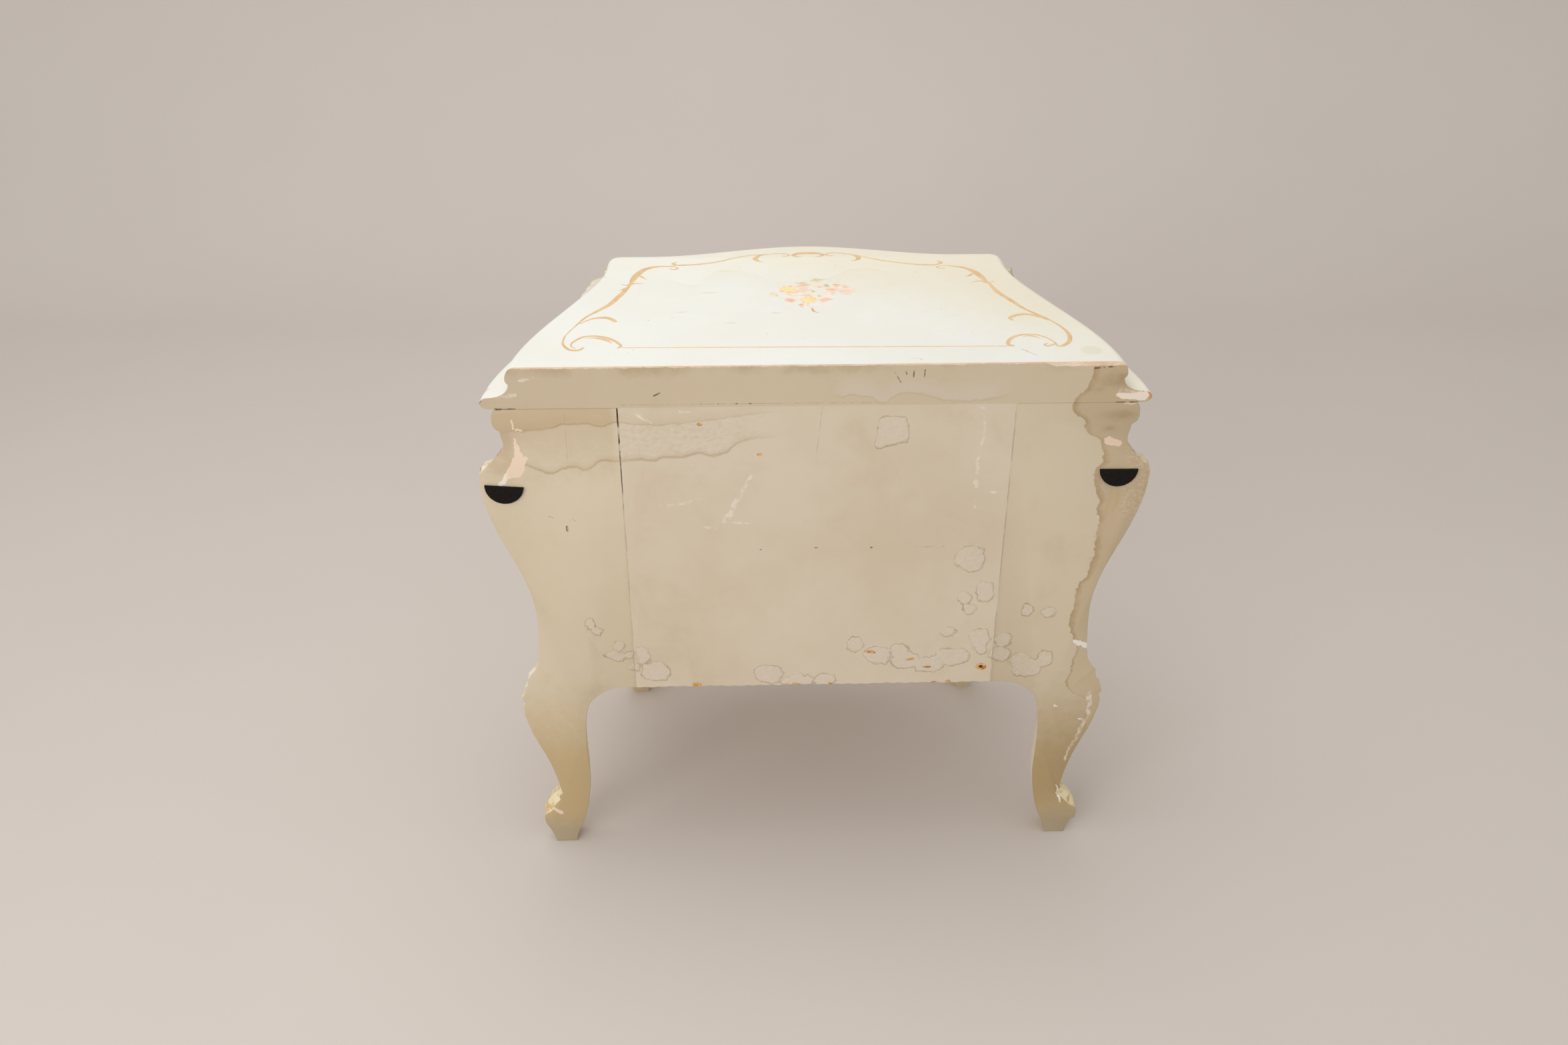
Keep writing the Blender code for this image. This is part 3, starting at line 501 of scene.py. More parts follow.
WOOD_CHIPS = (
    (192, 258, 6, 4.5), (-135, 239, 5, 3), (-20, 236, 7, 3), (19, 236, 5, 3), (141, 236, 4, 2.5),
    (156, 236, 3, 2.5), (64, 281, 6, 1.6), (111, 270, 5, 1.6), (129, 259, 4, 1.6), (-60, 536, 2.2, 1.6),
    (-122, 571, 2, 1.6),
)
HOLES = ((192, 258, 3.2, 1.8),)
SMEARS = (
    (-69, 510, -78, 494, 1.6), (-78, 494, -85, 476, 2.2), (-85, 476, -96, 457, 2.4),
    (-96, 457, -70, 452, 1.2), (-117, 450, -108, 446, 1.6), (-166, 476, -145, 479, 0.9),
    (-145, 479, -125, 483, 0.9), (173, 579, 173, 558, 1.0), (172, 556, 170, 540, 1.0),
    (169, 528, 169, 510, 1.5), (168, 500, 169, 495, 2.4), (172, 487, 190, 487, 1.3),
    (170, 478, 171, 470, 1.2), (164, 588, 171, 587, 1.0), (-140, 586, -128, 585, 1.0),
    (-186, 586, -170, 574, 1.4), (322, 218, 325, 195, 2.4, 3.2), (325, 195, 322, 180, 3.2, 2.4),
    (322, 180, 314, 153, 2.2, 1.5), (314, 153, 304, 115, 1.5, 1.0), (-322, 605, -306, 606, 1.8),
    (-300, 622, -285, 625, 1.3), (310, 603, 330, 601, 2.6), (320, 596, 338, 594, 1.3),
)
MARKS = (
    (-266, 452, -266, 447, 1.0), (-166, 604, -160, 607, 0.4), (-327, 591.0, -306, 591.2, 0.8, 0.3),
    (306, 591.2, 330, 591, 0.2, 0.5), (-122, 594.2, -118, 594.2, 0.3), (-102, 594.2, -101, 594.2, 0.4),
    (-83, 594.3, -81, 594.3, 0.4), (-69, 594.2, -68, 594.2, 0.3), (-60, 420, -59, 420, 0.5),
    (60, 420.6, 61, 420.6, 0.6), (0, 421, 2, 421, 0.7), (280, 629.3, 289, 629.9, 0.6),
    (294, 630.6, 300, 630.5, 0.5), (97, 629, 96.6, 621.5, 0.4), (108, 629, 107.6, 621.3, 0.4),
    (76.5, 629, 84, 616, 0.25), (88.6, 629.4, 89.5, 625, 0.3),
)
RAW_WOOD = (
    (341, 602, 346, 592, 3.0, 3.4), (-341, 600, -347, 594, 1.6, 2.0), (-336, 533, -346, 525, 1.2, 2.2),
)
HAIRLINES = (
    (-284, 465, -280, 463, 0.5), (-259, 461, -257, 459, 0.5), (-200, 594.2, 60, 594, 0.15),
    (110, 420.5, 140, 420.5, 0.2), (-258, 584, -259, 528, 0.05), (5, 590, -1, 528, 0.1),
)
SMUDGES = ((-322, 548, 9, 22), (-330, 524, 12, 9))
POOLS = ((312, 576, 22, 8), (304, 560, 9, 6), (306, 616, 22, 11), (287, 606, 8, 4))
DRIPS = ((314, 486, 311, 458, 3.0, 2.0), (323, 484, 318, 462, 2.4, 1.6), (330, 560, 326, 545, 1.6, 1.8))
UPPER_TIDE = (
    (-340, 563), (-312, 566), (-292, 567), (-274, 569), (-260, 573), (-247, 573), (-235, 574), (-225, 571),
    (-205, 575), (-186, 572), (-169, 571), (-151, 572), (-134, 573), (-116, 576), (-102, 577), (-88, 579),
    (-59, 583), (-20, 586),
)
LOWER_TIDE = (
    (-340, 540), (-302, 526), (-289, 521), (-277, 517), (-263, 522), (-251, 524), (-241, 521), (-223, 531),
    (-204, 530), (-183, 531), (-171, 529), (-161, 533), (-137, 534), (-123, 538), (-111, 535), (-99, 536),
    (-89, 543), (-79, 551), (-67, 555), (-45, 556), (-20, 566),
)
BAND_TIDE = (
    (15, 606), (23, 601), (34, 602), (54, 600), (66, 593), (77, 600), (93, 604), (106, 603), (130, 595),
    (148, 594), (170, 596), (191, 600), (205, 610),
)
RIGHT_STAIN = (
    (160, 327), (176, 322), (200, 322), (209, 318), (215, 308), (221, 300), (230, 294), (246, 296),
    (267, 298), (282, 300), (297, 294), (309, 290), (326, 289), (346, 291), (366, 291), (377, 299),
    (400, 304), (438, 305), (453, 306), (465, 302), (476, 303), (485, 300), (493, 296), (513, 294),
    (518, 299), (526, 301), (538, 298), (547, 296), (555, 282), (572, 275), (588, 262), (604, 272),
    (620, 279), (636, 280),
)
BOARDS = {
    "panel": (-205, 205, 236, 591), "left": (-355, -205, 0, 591), "right": (205, 355, 0, 591),
    "top": (-345, 345, 591, 637),
}
MARGIN = 14


def on_board(board, spots):
    """The spots or strokes that lie on a board of the back."""
    low, high, bottom, top = BOARDS[board]

    def near(x, z):
        return low - MARGIN < x < high + MARGIN and bottom - MARGIN < z < top + MARGIN

    return [spot for spot in spots if near(*spot[:2]) or near(*spot[2:4])]


def board_grime_and_shade(f, board):
    """Tones that differ from board to board, grime in patches, greyer feet, and legs darker and yellower
    lower down, partly grime and partly painted shade and warm floor bounce.
    """
    if board == "top":
        f.coat(0.66, f.mix(f.spread(f.across, -330, -120), rgb(186, 168, 138), rgb(198, 181, 153)))
    elif board != "panel":
        f.coat(0.5, rgb(205, 190, 160) if board == "left" else rgb(195, 180, 151))
        # Painted shade and bounce light in part: the legs darken and turn yellower towards the floor,
        # standing in for shadow and warm light from the floor as well as for grime.
        leg = f.fade(f.shaky(f.along, 60), 105, 265, 0.9)
        dark = f.spread(f.along, 30, 75, 0.4, 1.0) if board == "right" else 0.0
        f.coat(leg, f.mix(dark, rgb(186, 161, 116), rgb(168, 143, 98)))
    if board == "left":
        soaked = f.times(f.spread(f.across, -200, -215), f.spread(f.shaky(f.along, 50), 495, 570, 0.0, 0.85))
        f.coat(soaked, rgb(188, 167, 134))
    most = 0.24 if board == "panel" else 0.36
    f.coat(f.spread(f.noise(13, 6, 0.65, distortion=0.5), 0.5, 0.75, 0.0, most), rgb(186, 166, 132))
    if board in ("left", "right"):
        f.coat(f.fade(f.shaky(f.along, 40), 14, 50, 0.62), rgb(166, 155, 136))


def tide_marks(f, board):
    """Tide marks on the left, and the roughened paint between them."""
    level = f.shaky(f.along, 6, 1.6)
    upper = f.math("SUBTRACT", level, f.curve(f.across, -340, -20, UPPER_TIDE, 500, 600))
    lower = f.math("SUBTRACT", level, f.curve(f.across, -340, -20, LOWER_TIDE, 500, 600))
    here = f.between(f.across, -330, -300, -110, -20)
    band = f.times(f.fade(upper, -3, 1), f.spread(lower, -1, 3), here)
    f.coat(f.times(band, 0.30), rgb(212, 200, 180))
    strength = 0.62 if board == "left" else 0.40
    uneven = f.patches(26, 2, 0.3, 0.62, 0.3 * strength, strength)
    lines = f.math("MAXIMUM", edge_line(f, upper, 0.2, 1.7), edge_line(f, lower, 0.2, 2.0))
    f.coat(f.times(lines, here, uneven), rgb(168, 144, 106))
    above = f.times(f.between(upper, -0.5, 0.5, 0, 14), 0.2)
    inside = f.times(f.between(lower, -0.4, 0.8, 0, 9), 0.3)
    f.coat(f.times(f.math("MAXIMUM", above, inside), here), rgb(178, 154, 116))
    if board == "panel":
        grit = f.noise(150, 4, 0.65, stretch=(1.0, 1.0, 1.4))
        f.coat(f.times(band, f.spread(grit, 0.5, 0.7, 0.0, 0.24)), rgb(224, 214, 198))
        f.coat(f.times(band, f.spread(grit, 0.48, 0.32, 0.0, 0.20)), rgb(184, 165, 134))
        f.relief.append(f.times(grit, band, 2.8))
    else:
        f.patch(blobs(f, f.shaken, SMUDGES), -5, 3, 0.5, rgb(188, 166, 140))


def water_stain(f, board):
    """The water stain on the right, with a brown fringe, pools and runs."""
    edge = f.curve(f.along, 160, 636, RIGHT_STAIN, 240, 340)
    stain = f.math("SUBTRACT", f.shaky(f.across, 8, 6), edge)
    reached = f.spread(f.along, 150, 175)
    high = f.spread(f.along, 270, 330)
    wet = f.times(f.spread(stain, -0.6, 1), reached, 0.55)
    f.coat(wet, f.mix(high, rgb(192, 172, 138), rgb(178, 154, 117)))
    fringe = f.math("SUBTRACT", 1.0, f.math("DIVIDE", stain, f.add(3.0, f.times(high, 5))), clamp=True)
    run = f.times(f.spread(stain, -0.8, 0.5), fringe, f.patches(34, 3, 0.3, 0.62, 0.3, 1.0), reached, 0.85)
    f.coat(run, rgb(164, 138, 98))
    pools = blobs(f, f.shaken, on_board(board, POOLS))
    f.patch(pools, -9, 2, 0.8, rgb(162, 140, 104), f.patches(45, 3, 0.3, 0.6, 0.5, 1.0))
    if board == "right":
        f.patch(strokes(f, f.shaken, DRIPS), -2, 2.5, 0.5, rgb(190, 162, 114))
        bare = f.times(f.spread(f.across, 322, 332), f.between(f.along, 440, 470, 532, 545))
        pimples = f.noise(320, 3, 0.6)
        rough = f.mix(f.spread(pimples, 0.42, 0.6), rgb(188, 164, 134), rgb(206, 184, 156))
        f.coat(f.times(bare, 0.55), rough)
        f.relief.append(f.times(pimples, bare, 1.6))


def blisters(f, board):
    """Raised blisters with brown rims."""
    spots = on_board(board, BLISTERS)
    if not spots:
        return
    field = f.add(blobs(f, f.shaken, spots), f.times(f.around_zero(70, 3, 0.6), 11))
    if board == "panel":
        field = f.math("SMOOTH_MIN", field, strokes(f, f.shaken, LONG_BLISTERS), 2.0)
    raised = f.fade(field, -1.5, 0.3)
    puckers = f.noise(260, 4, 0.7)
    f.coat(f.times(raised, f.spread(puckers, 0.3, 0.7, 0.25, 0.6)), rgb(216, 204, 190))
    rim = f.between(field, -0.4, 0.2, 0.3, 1.6)
    f.coat(f.times(rim, f.patches(60, 3, 0.36, 0.64, 0.12, 0.85)), rgb(168, 146, 110))
    f.relief.append(f.times(raised, f.add(0.9, f.times(puckers, 2.6))))


def ground_losses(f, board):
    """Losses down to the pink ground coat."""
    spots = on_board(board, GESSO)
    if not spots:
        return
    gesso = f.fade(strokes(f, f.shaken, spots), -0.3, 0.3)
    ground = f.mix(f.clouds, rgb(230, 208, 184), rgb(224, 198, 170))
    if board == "left":
        ground = f.mix(f.spread(f.across, -320, -328), ground, rgb(236, 228, 210))
    elif board == "right":
        ground = f.mix(f.spread(f.along, 300, 310), rgb(234, 226, 218), ground)
    else:
        ground = f.mix(0.7, ground, rgb(240, 228, 218))
    f.coat(gesso, ground)
    f.relief.append(f.times(gesso, -0.7))


def wood_losses(f, board):
    """Chips down to the wood, one of them with a hole, and raw corners."""
    spots = on_board(board, WOOD_CHIPS)
    if spots:
        chip = f.fade(blobs(f, f.shaken, spots, 1.0), -0.3, 0.4)
        f.coat(chip, f.mix(f.patches(300, 3, 0.4, 0.6), rgb(226, 176, 106), rgb(176, 120, 58)))
        f.patch(blobs(f, f.shaken, HOLES), -0.6, 0.3, 1.0, rgb(60, 40, 22))
        f.relief.append(f.times(chip, -0.8))
    raw = on_board(board, RAW_WOOD)
    if raw:
        wood = f.mix(f.patches(130, 3, 0.4, 0.6), rgb(196, 148, 88), rgb(142, 98, 56))
        f.patch(strokes(f, f.shaken, raw), -0.8, 0.8, 0.85, wood)


def seams(f):
    """Seams beside the panel: open and dark on the left near the top, faint elsewhere."""
    seam = f.math("ABSOLUTE", f.math("SUBTRACT", f.math("ABSOLUTE", f.shaky(f.across, 0.8)), 204.2))
    left = f.fade(f.across, -1, 1)
    half = f.add(0.2, f.times(left, f.spread(f.along, 520, 560, 0.05, 0.45)))
    right = f.math("SUBTRACT", 1.0, left)
    faint = f.add(f.times(left, f.spread(f.along, 400, 530, 0.2, 1.0)), f.times(right, 0.38))
    broken = f.spread(f.noise(60, 3, stretch=(1.0, 1.0, 0.6)), 0.36, 0.54, 0.12, 1.0)
    crack = f.times(f.fade(f.math("SUBTRACT", seam, half), 0, 0.5), faint)
    f.coat(f.times(crack, broken), rgb(74, 50, 32))
    f.relief.append(f.times(crack, -0.9))


def band_wear(f):
    """A pale tide, soot and a worn arris on the back edge of the top."""
    pale = f.math("SUBTRACT", f.shaky(f.along, 6, 2), f.curve(f.across, 15, 205, BAND_TIDE, 580, 620))
    span = f.between(f.across, 10, 30, 175, 205)
    f.coat(f.times(f.spread(pale, -1, 1.5), f.fade(pale, 8, 26, 0.42), span), rgb(208, 195, 182))
    f.coat(f.times(edge_line(f, pale, 0.2, 1.8), span, 0.25), rgb(172, 152, 120))
    soot = f.times(f.spread(f.shaky(f.along, 16), 622, 634), f.patches(18, 3, 0.42, 0.62, 0.0, 0.5))
    f.coat(soot, rgb(170, 150, 112))
    wide = f.times(f.spread(f.across, 228, 242), 2.9)
    worn = f.spread(f.add(f.shaky(f.along, 3.5, 2), wide), 634.5, 635.2)
    f.coat(worn, f.mix(f.spread(f.noise(30, 5, 0.65), 0.34, 0.66), rgb(240, 220, 198), rgb(226, 194, 160)))


def back_finish(board):
    """One board of the flat back: beige paint, darker than the cream of the top partly as painted shade, with
    stains, blisters, losses and wiped smears.
    """
    f = Finish("back_paint_" + board)
    marked(f, f.times(f.x, -1000), f.times(f.z, 1000))
    f.jitter = f.around_zero(95, 4, 0.62)
    f.ragged = f.around_zero(260, 3, 0.65)
    f.clouds = f.spread(f.noise(5, 4, 0.6), 0.34, 0.68)
    # Painted shade in part: the beige base is darker than the cream of the top, partly the back's own paint
    # and partly the shade on the back face.
    f.colour = f.mix(f.clouds, rgb(214, 200, 179), rgb(206, 191, 167))
    f.relief = [f.times(f.noise(40, 3, stretch=(1.0, 1.0, 0.3)), 0.25), f.times(f.noise(420, 2, 0.5), 0.12)]
    board_grime_and_shade(f, board)
    if board in ("left", "panel"):
        tide_marks(f, board)
    if board in ("right", "top"):
        water_stain(f, board)
    blisters(f, board)
    ground_losses(f, board)
    smears = strokes(f, f.shaken, on_board(board, SMEARS))
    f.patch(smears, -1, 1.2, 0.72, rgb(232, 222, 206), f.patches(120, 3, 0.35, 0.65))
    wood_losses(f, board)
    fine = f.patches(170, 3, 0.36, 0.6)
    f.patch(strokes(f, f.flat, on_board(board, HAIRLINES)), -0.1, 0.5, 0.5, rgb(150, 126, 92), fine)
    f.patch(strokes(f, f.flat, on_board(board, MARKS)), 0, 0.7, 0.9, rgb(88, 64, 44), fine)
    if board == "panel":
        seams(f)
    if board == "top":
        band_wear(f)
    f.set("Base Color", f.colour)
    f.set("Roughness", f.spread(f.clouds, 0, 1, 0.62, 0.8))
    f.set("Normal", f.bump(f.add(*f.relief), 0.45, 0.0009))
    return f.material


# Marks on the top, in millimetres to the right of its middle and in depth from the back

TOP_TIDE = (
    (-190, 236), (-167, 246), (-146, 234), (-131, 227), (-124, 246), (-111, 267), (-96, 278), (-77, 273),
    (-44, 246), (-29, 238), (15, 244), (34, 255), (62, 280), (110, 262), (170, 268),
)
TOP_SPOTS = (
    (-87, 113, 6, 2.6), (-114, 206, 9, 2.2), (-38, 141, 5, 2.2), (-153, 129, 2.2, 1.4), (-142, 146, 6, 1.2),
)
TOP_RING = ((282, 29, 10.5, 10.0),)
TOP_SCRATCHES = (
    (212, 34, 219, 24, 0.5), (219, 24, 223, 17, 0.4), (95, 14, 108, 9, 0.2), (-178, 123, -177, 123, 0.8),
)
BUDS = ((-247, 358, 5, 7), (259, 347, 5, 7), (273, 306, 2.0, 4))


def top_stains(f):
    """Yellowing, a tide line, spots, a ring, scratches and specks on the flat of the top."""
    slant = f.shaky(f.add(f.times(f.across, 0.0042), f.times(f.along, 0.0046)), 0.8)
    f.coat(f.spread(slant, 0.75, 1.9, 0.0, 0.62), rgb(238, 229, 202))
    f.coat(f.spread(f.shaky(f.along, 80), 210, 340, 0.0, 0.4), rgb(241, 236, 218))
    line = f.math("SUBTRACT", f.shaky(f.along, 9), f.curve(f.across, -190, 170, TOP_TIDE, 200, 320))
    here = f.between(f.across, -185, -150, 60, 150)
    uneven = f.patches(16, 2, 0.4, 0.6, 0.06, 0.26)
    f.coat(f.times(edge_line(f, line, 0.5, 3.0), here, uneven), rgb(224, 210, 174))
    f.coat(f.times(f.between(line, -60, 0, -0.5, 0.5), here, 0.10), rgb(228, 214, 178))
    f.patch(blobs(f, f.shaken, TOP_SPOTS, 1.0), -1, 1, 0.4, rgb(216, 204, 168))
    ring = blobs(f, f.flat, TOP_RING)
    f.coat(f.add(f.fade(ring, -2, 0.5, 0.35), f.times(edge_line(f, ring, 0.4, 1.2), 0.2)), rgb(222, 212, 184))
    f.patch(strokes(f, f.shaken, TOP_SCRATCHES), -0.2, 0.5, 0.6, rgb(172, 170, 158))
    speck = f.times(f.patches(150, 2, 0.72, 0.75), f.patches(14, 1, 0.5, 0.58))
    f.coat(f.times(speck, 0.5), rgb(206, 186, 146))


def top_edge_wear_and_shade(f):
    """A worn rear arris, gilt in the quirk, painted shade in the cove near the front corners, dark brown and
    gold buds there, and brown chips low on the lip.
    """
    height = f.times(f.z, 1000)
    arris = f.times(f.fade(f.shaky(f.along, 3), 0.3, 1.3), f.spread(height, 635.6, 636.3))
    f.coat(f.times(arris, 0.7), f.mix(f.clouds, rgb(230, 204, 174), rgb(238, 220, 198)))
    quirk = f.between(height, 612.5, 615.5, 619, 621)
    gilt = f.mix(f.patches(60, 3, 0.4, 0.6), rgb(200, 166, 104), rgb(150, 122, 86))
    left = f.math("MAXIMUM", f.fade(f.along, 40, 60), f.patches(26, 3, 0.4, 0.55, 0.35, 1.0))
    f.coat(f.times(quirk, left), gilt)
    # Painted shade: the cove near the front corners is darkened where it lies in shadow under the nose.
    corner = f.times(f.spread(f.along, 268, 300), f.spread(f.math("ABSOLUTE", f.across), 205, 240))
    cove = f.times(f.spread(height, 598, 606, 0.6, 1.0), f.fade(height, 614, 621), corner)
    f.coat(f.times(cove, 0.5), rgb(196, 180, 148))
    bud = f.times(f.fade(blobs(f, f.shaken, BUDS), -1.5, 1.5), f.between(height, 599, 602, 618, 622))
    f.coat(f.times(bud, 0.85), f.mix(f.patches(120, 3, 0.4, 0.6), rgb(150, 114, 74), rgb(206, 168, 112)))
    tip = f.times(f.fade(f.shaky(height, 8), 599, 604), f.patches(48, 3, 0.55, 0.65))
    f.coat(f.times(tip, 0.7), rgb(192, 146, 90))


def top_finish():
    """The top: bright cream with yellowing, faint tide lines, a ring, spots, a gilt quirk and painted shade
    in the cove near the front corners.
    """
    f = Finish("top_paint")
    marked(f, f.times(f.x, -1000), f.times(f.math("SUBTRACT", BACK_Y, f.y), 1000))
    f.jitter = f.around_zero(70, 4, 0.6)
    f.clouds = f.patches(6, 3, 0.34, 0.68)
    f.colour = f.mix(f.clouds, rgb(240, 242, 237), rgb(238, 238, 229))
    top_stains(f)
    top_edge_wear_and_shade(f)
    f.set("Base Color", f.colour)
    f.set("Roughness", f.patches(40, 3, 0.3, 0.7, 0.5, 0.64))
    f.set("Specular IOR Level", 0.2)
    brush = f.noise(50, 3, stretch=(0.12, 1.0, 1.0))
    f.set("Normal", f.bump(f.add(f.times(brush, 0.5), f.times(f.noise(300, 2), 0.2)), 0.2, 0.0006))
    return f.material


def leg_finish():
    """Cream paint on the carved legs, with gilding and losses on the leaves at shoulder, knee and foot."""
    f = cream_finish("leg_paint", rgb(236, 229, 206), rgb(226, 214, 184), rgb(192, 170, 128), 0.45)
    along = f.times(f.z, 1000)
    zones = ((150, 200, 250, 275), (480, 515, 535, 545), (30, 45, 66, 80))
    leaf = f.add(*(f.between(along, *zone) for zone in zones))
    gold = f.spread(f.noise(75, 4, 0.6), 0.5, 0.62)
    f.coat(f.times(leaf, gold, 0.8), rgb(214, 178, 108))
    f.coat(f.times(leaf, f.patches(110, 3, 0.62, 0.68)), rgb(176, 128, 76))
    f.coat(f.fade(along, 55, 85, 0.55), f.mix(gold, rgb(226, 204, 150), rgb(202, 172, 118)))
    glint = f.times(f.between(along, 239, 242, 247, 250), f.spread(f.x, -0.312, -0.318))
    f.coat(f.times(glint, 0.8), rgb(206, 164, 62))
    broken = f.between(along, 522, 527, 540, 545)
    broken = f.times(broken, f.spread(f.x, 0.324, 0.330), f.spread(f.y, 0.180, 0.184))
    f.coat(f.times(broken, f.patches(140, 3, 0.36, 0.52, 0.25, 0.9)), rgb(190, 150, 106))
    f.coat(f.fade(f.add(along, f.times(f.noise(80), 20)), 14, 34, 0.6), rgb(172, 154, 126))
    f.set("Base Color", f.colour)
    return f.material


CREAM = cream_finish("cream_paint", rgb(238, 232, 212), rgb(230, 220, 192), rgb(196, 176, 138), 0.42).material
WOOD = {axis: wood_finish("bare_wood_" + axis, rgb(204, 168, 120), rgb(170, 130, 84), axis) for axis in "xyz"}
BRASS = brass_finish()
STEEL = steel_finish()
FELT = felt_finish()
SCROLL = scroll_finish("scroll_paint", rgb(233, 202, 156), rgb(221, 182, 130))
LINE = scroll_finish("line_paint", rgb(237, 210, 180), rgb(229, 194, 156))
BACK = {board: back_finish(board) for board in BOARDS}
TOP = top_finish()
LEG = leg_finish()


# The top board, with lobes carved in its lip round the front corners


def moulding():
    """The edge as (drop, reach) from the upper face down to the underside."""
    quarter_turn, half_turn = math.pi / 2, math.pi
    nose = [(0.0135 * (1 - math.cos(a)), 0.0105 * math.sin(a)) for a in np.linspace(0, quarter_turn, 7)]
    under = [(0.0165, 0.0098), (0.0186, 0.0076)]
    turn = np.linspace(0, quarter_turn, 9)
    cove = [(0.0195 + 0.0135 * math.sin(a), 0.030 - 0.0222 * math.cos(a)) for a in turn]
    turn = np.linspace(0, half_turn, 11)
    lip = [(0.03925 - 0.00625 * math.cos(a), 0.030 + 0.0085 * math.sin(a)) for a in turn]
    return nose + under + cove + lip[1:]


# Start and end along the edge, reach of the crest and depth of the notch, in metres
LOBES = (
    (-0.105, -0.040, -0.0045, 0.0030), (-0.040, -0.004, -0.0012, 0.0060), (-0.004, 0.016, -0.0045, 0.0040),
    (0.016, 0.0465, 0.0005, 0.0080), (0.0465, 0.072, -0.0060, 0.0060), (0.072, 0.105, -0.0020, 0.0040),
)
LEAF_DEPTH = 0.18
# A run round a corner is measured at this radius
RUN_RADIUS = 0.043
CORNER_RUN = 0.0675


def cut_back(run):
    """How far the nose is cut back behind a front corner's leaf."""
    rise = np.clip((run + 0.14) / 0.135, 0, 1)
    fall = np.clip((0.046 - run) / 0.046, 0, 1)
    return 0.0045 * float(ease(rise) * ease(fall))


def lobes(run):
    """Scallops of a carved leaf in the lip, by distance along the edge from the start of a front corner."""
    for start, end, crest, notch in LOBES:
        if start <= run < end:
            wave = math.sin(math.pi * (run - start) / (end - start)) ** 0.5
            return (crest - notch * (1 - wave)) * float(window(run, -0.085, 0.09, 0.02))
    return 0.0


def half_outline(reach, weight, cut, lift, bud):
    """Half of the edge at one reach, with shares of the leaf's lobes, the cut behind it and the bud on it."""
    corner_x, corner_depth = TOP_FRONT_HALF - CORNER, SIDE_DEPTH - CORNER

    def shape(run):
        rise = lift * math.exp(-(((run - bud) / 0.0075) ** 2))
        return reach + weight * lobes(run) - cut * cut_back(run) + rise * max(0.0, 0.036 - reach)

    half = []
    plain = np.linspace(0.0, LEAF_DEPTH, 40, endpoint=False)
    for depth in (*plain, *np.linspace(LEAF_DEPTH, corner_depth, 70, endpoint=False)):
        slope = slope_of(side_line, depth)
        far = shape(depth - corner_depth) / math.hypot(1.0, slope)
        half.append((side_line(depth) + far, depth - far * slope))
    for angle in np.linspace(0, math.pi / 2, 49):
        far = CORNER + shape(angle * RUN_RADIUS)
        half.append((corner_x + far * math.cos(angle), corner_depth + far * math.sin(angle)))
    for x in np.linspace(corner_x, 0.0, 90)[1:]:
        slope = slope_of(front_line, x)
        far = shape(CORNER_RUN + corner_x - x) / math.hypot(1.0, slope)
        half.append((x - far * slope, front_line(x) + far))
    return half


def top_outline(reach, weight, cut, lift):
    """The edge at one reach. The nose is cut back less at the right corner than at the left."""
    right = half_outline(reach, 0.8 * weight, 0.7 * cut, lift, 0.030)
    return half_outline(reach, weight, cut, lift, 0.044) + [(-x, depth) for x, depth in reversed(right[:-1])]


def make_top():
    rings = []
    for drop, reach in moulding():
        weight = float(np.clip((reach - 0.012) / 0.016, 0, 1)) if drop > 0.02 else 0.0
        cut = float(np.clip((0.030 - reach) / 0.020, 0, 1)) if drop < 0.034 else 0.0
        lift = float(np.clip((drop - 0.0195) / 0.005, 0, 1)) if drop < 0.034 else 0.0
        rings.append([at_plan(x, depth, HEIGHT - drop) for x, depth in top_outline(reach, weight, cut, lift)])
    count = len(rings[0])
    wall = count * (len(rings) - 1)
    picks = [int(i < wall and i % count == count - 1) for i in range(wall + 2)]
    lofted("moulded_top", rings, [TOP, BACK["top"]], "case", "cream_paint", "top_board", 30.0, picks)


# Back legs: flat boards with carved outer edges, given in millimetres from the middle and up from the floor

EDGE_RUNS = (
    ((326.5, 590.7), (331, 587), (332.8, 577), (330.8, 569), (325.7, 565)),
    ((325.7, 565), (325.2, 560), (323.6, 552), (324.6, 543.5)),
    ((324.6, 543.5), (331, 540), (336, 536.5), (337.2, 533), (336.2, 530)),
    ((336.2, 530), (342, 528), (348, 523), (352, 514), (352.7, 504), (351.2, 484.4), (346.3, 462.7),
     (337.5, 436), (326.4, 408.4), (317.5, 384.2), (310.8, 356.4), (309.1, 336), (309.6, 313.8),
     (311.4, 291), (313, 277), (314.6, 268)),
    ((314.6, 268), (321, 261.5), (327, 254), (329.6, 248.6), (325.6, 244.2)),
    ((325.6, 244.2), (331.6, 240.2), (334.8, 235), (335.4, 231), (332.6, 227.3)),
    ((332.6, 227.3), (336.4, 224), (337.2, 219.6), (332.4, 213.8)),
    ((332.4, 213.8), (335.6, 209.5), (336, 203), (335.1, 193.8), (328.8, 169), (320.2, 146), (312.6, 124.6),
     (306.4, 100), (303.5, 83), (302.3, 77)),
)
WHOLE_FOOT = (
    (302.3, 77), (309, 71), (317, 62.5), (323.5, 52), (327, 41), (326.6, 31), (321.5, 19), (317, 7),
    (315.5, 0),
)
WORN_FOOT = (
    (302.3, 77), (303.4, 70), (304.8, 65), (308.6, 60.2), (315, 55.4), (322.1, 47), (326.8, 37.3),
    (327, 24), (321.8, 20.6), (320, 15), (316.2, 7), (315.5, 0),
)
WORN_KNEE = (
    ((314.6, 268), (320.6, 259.5), (325.4, 253.6), (327.2, 250), (321.0, 243)),
    ((321.0, 243), (329.4, 239.8), (334, 235), (335.2, 231), (332.6, 227.3)),
)
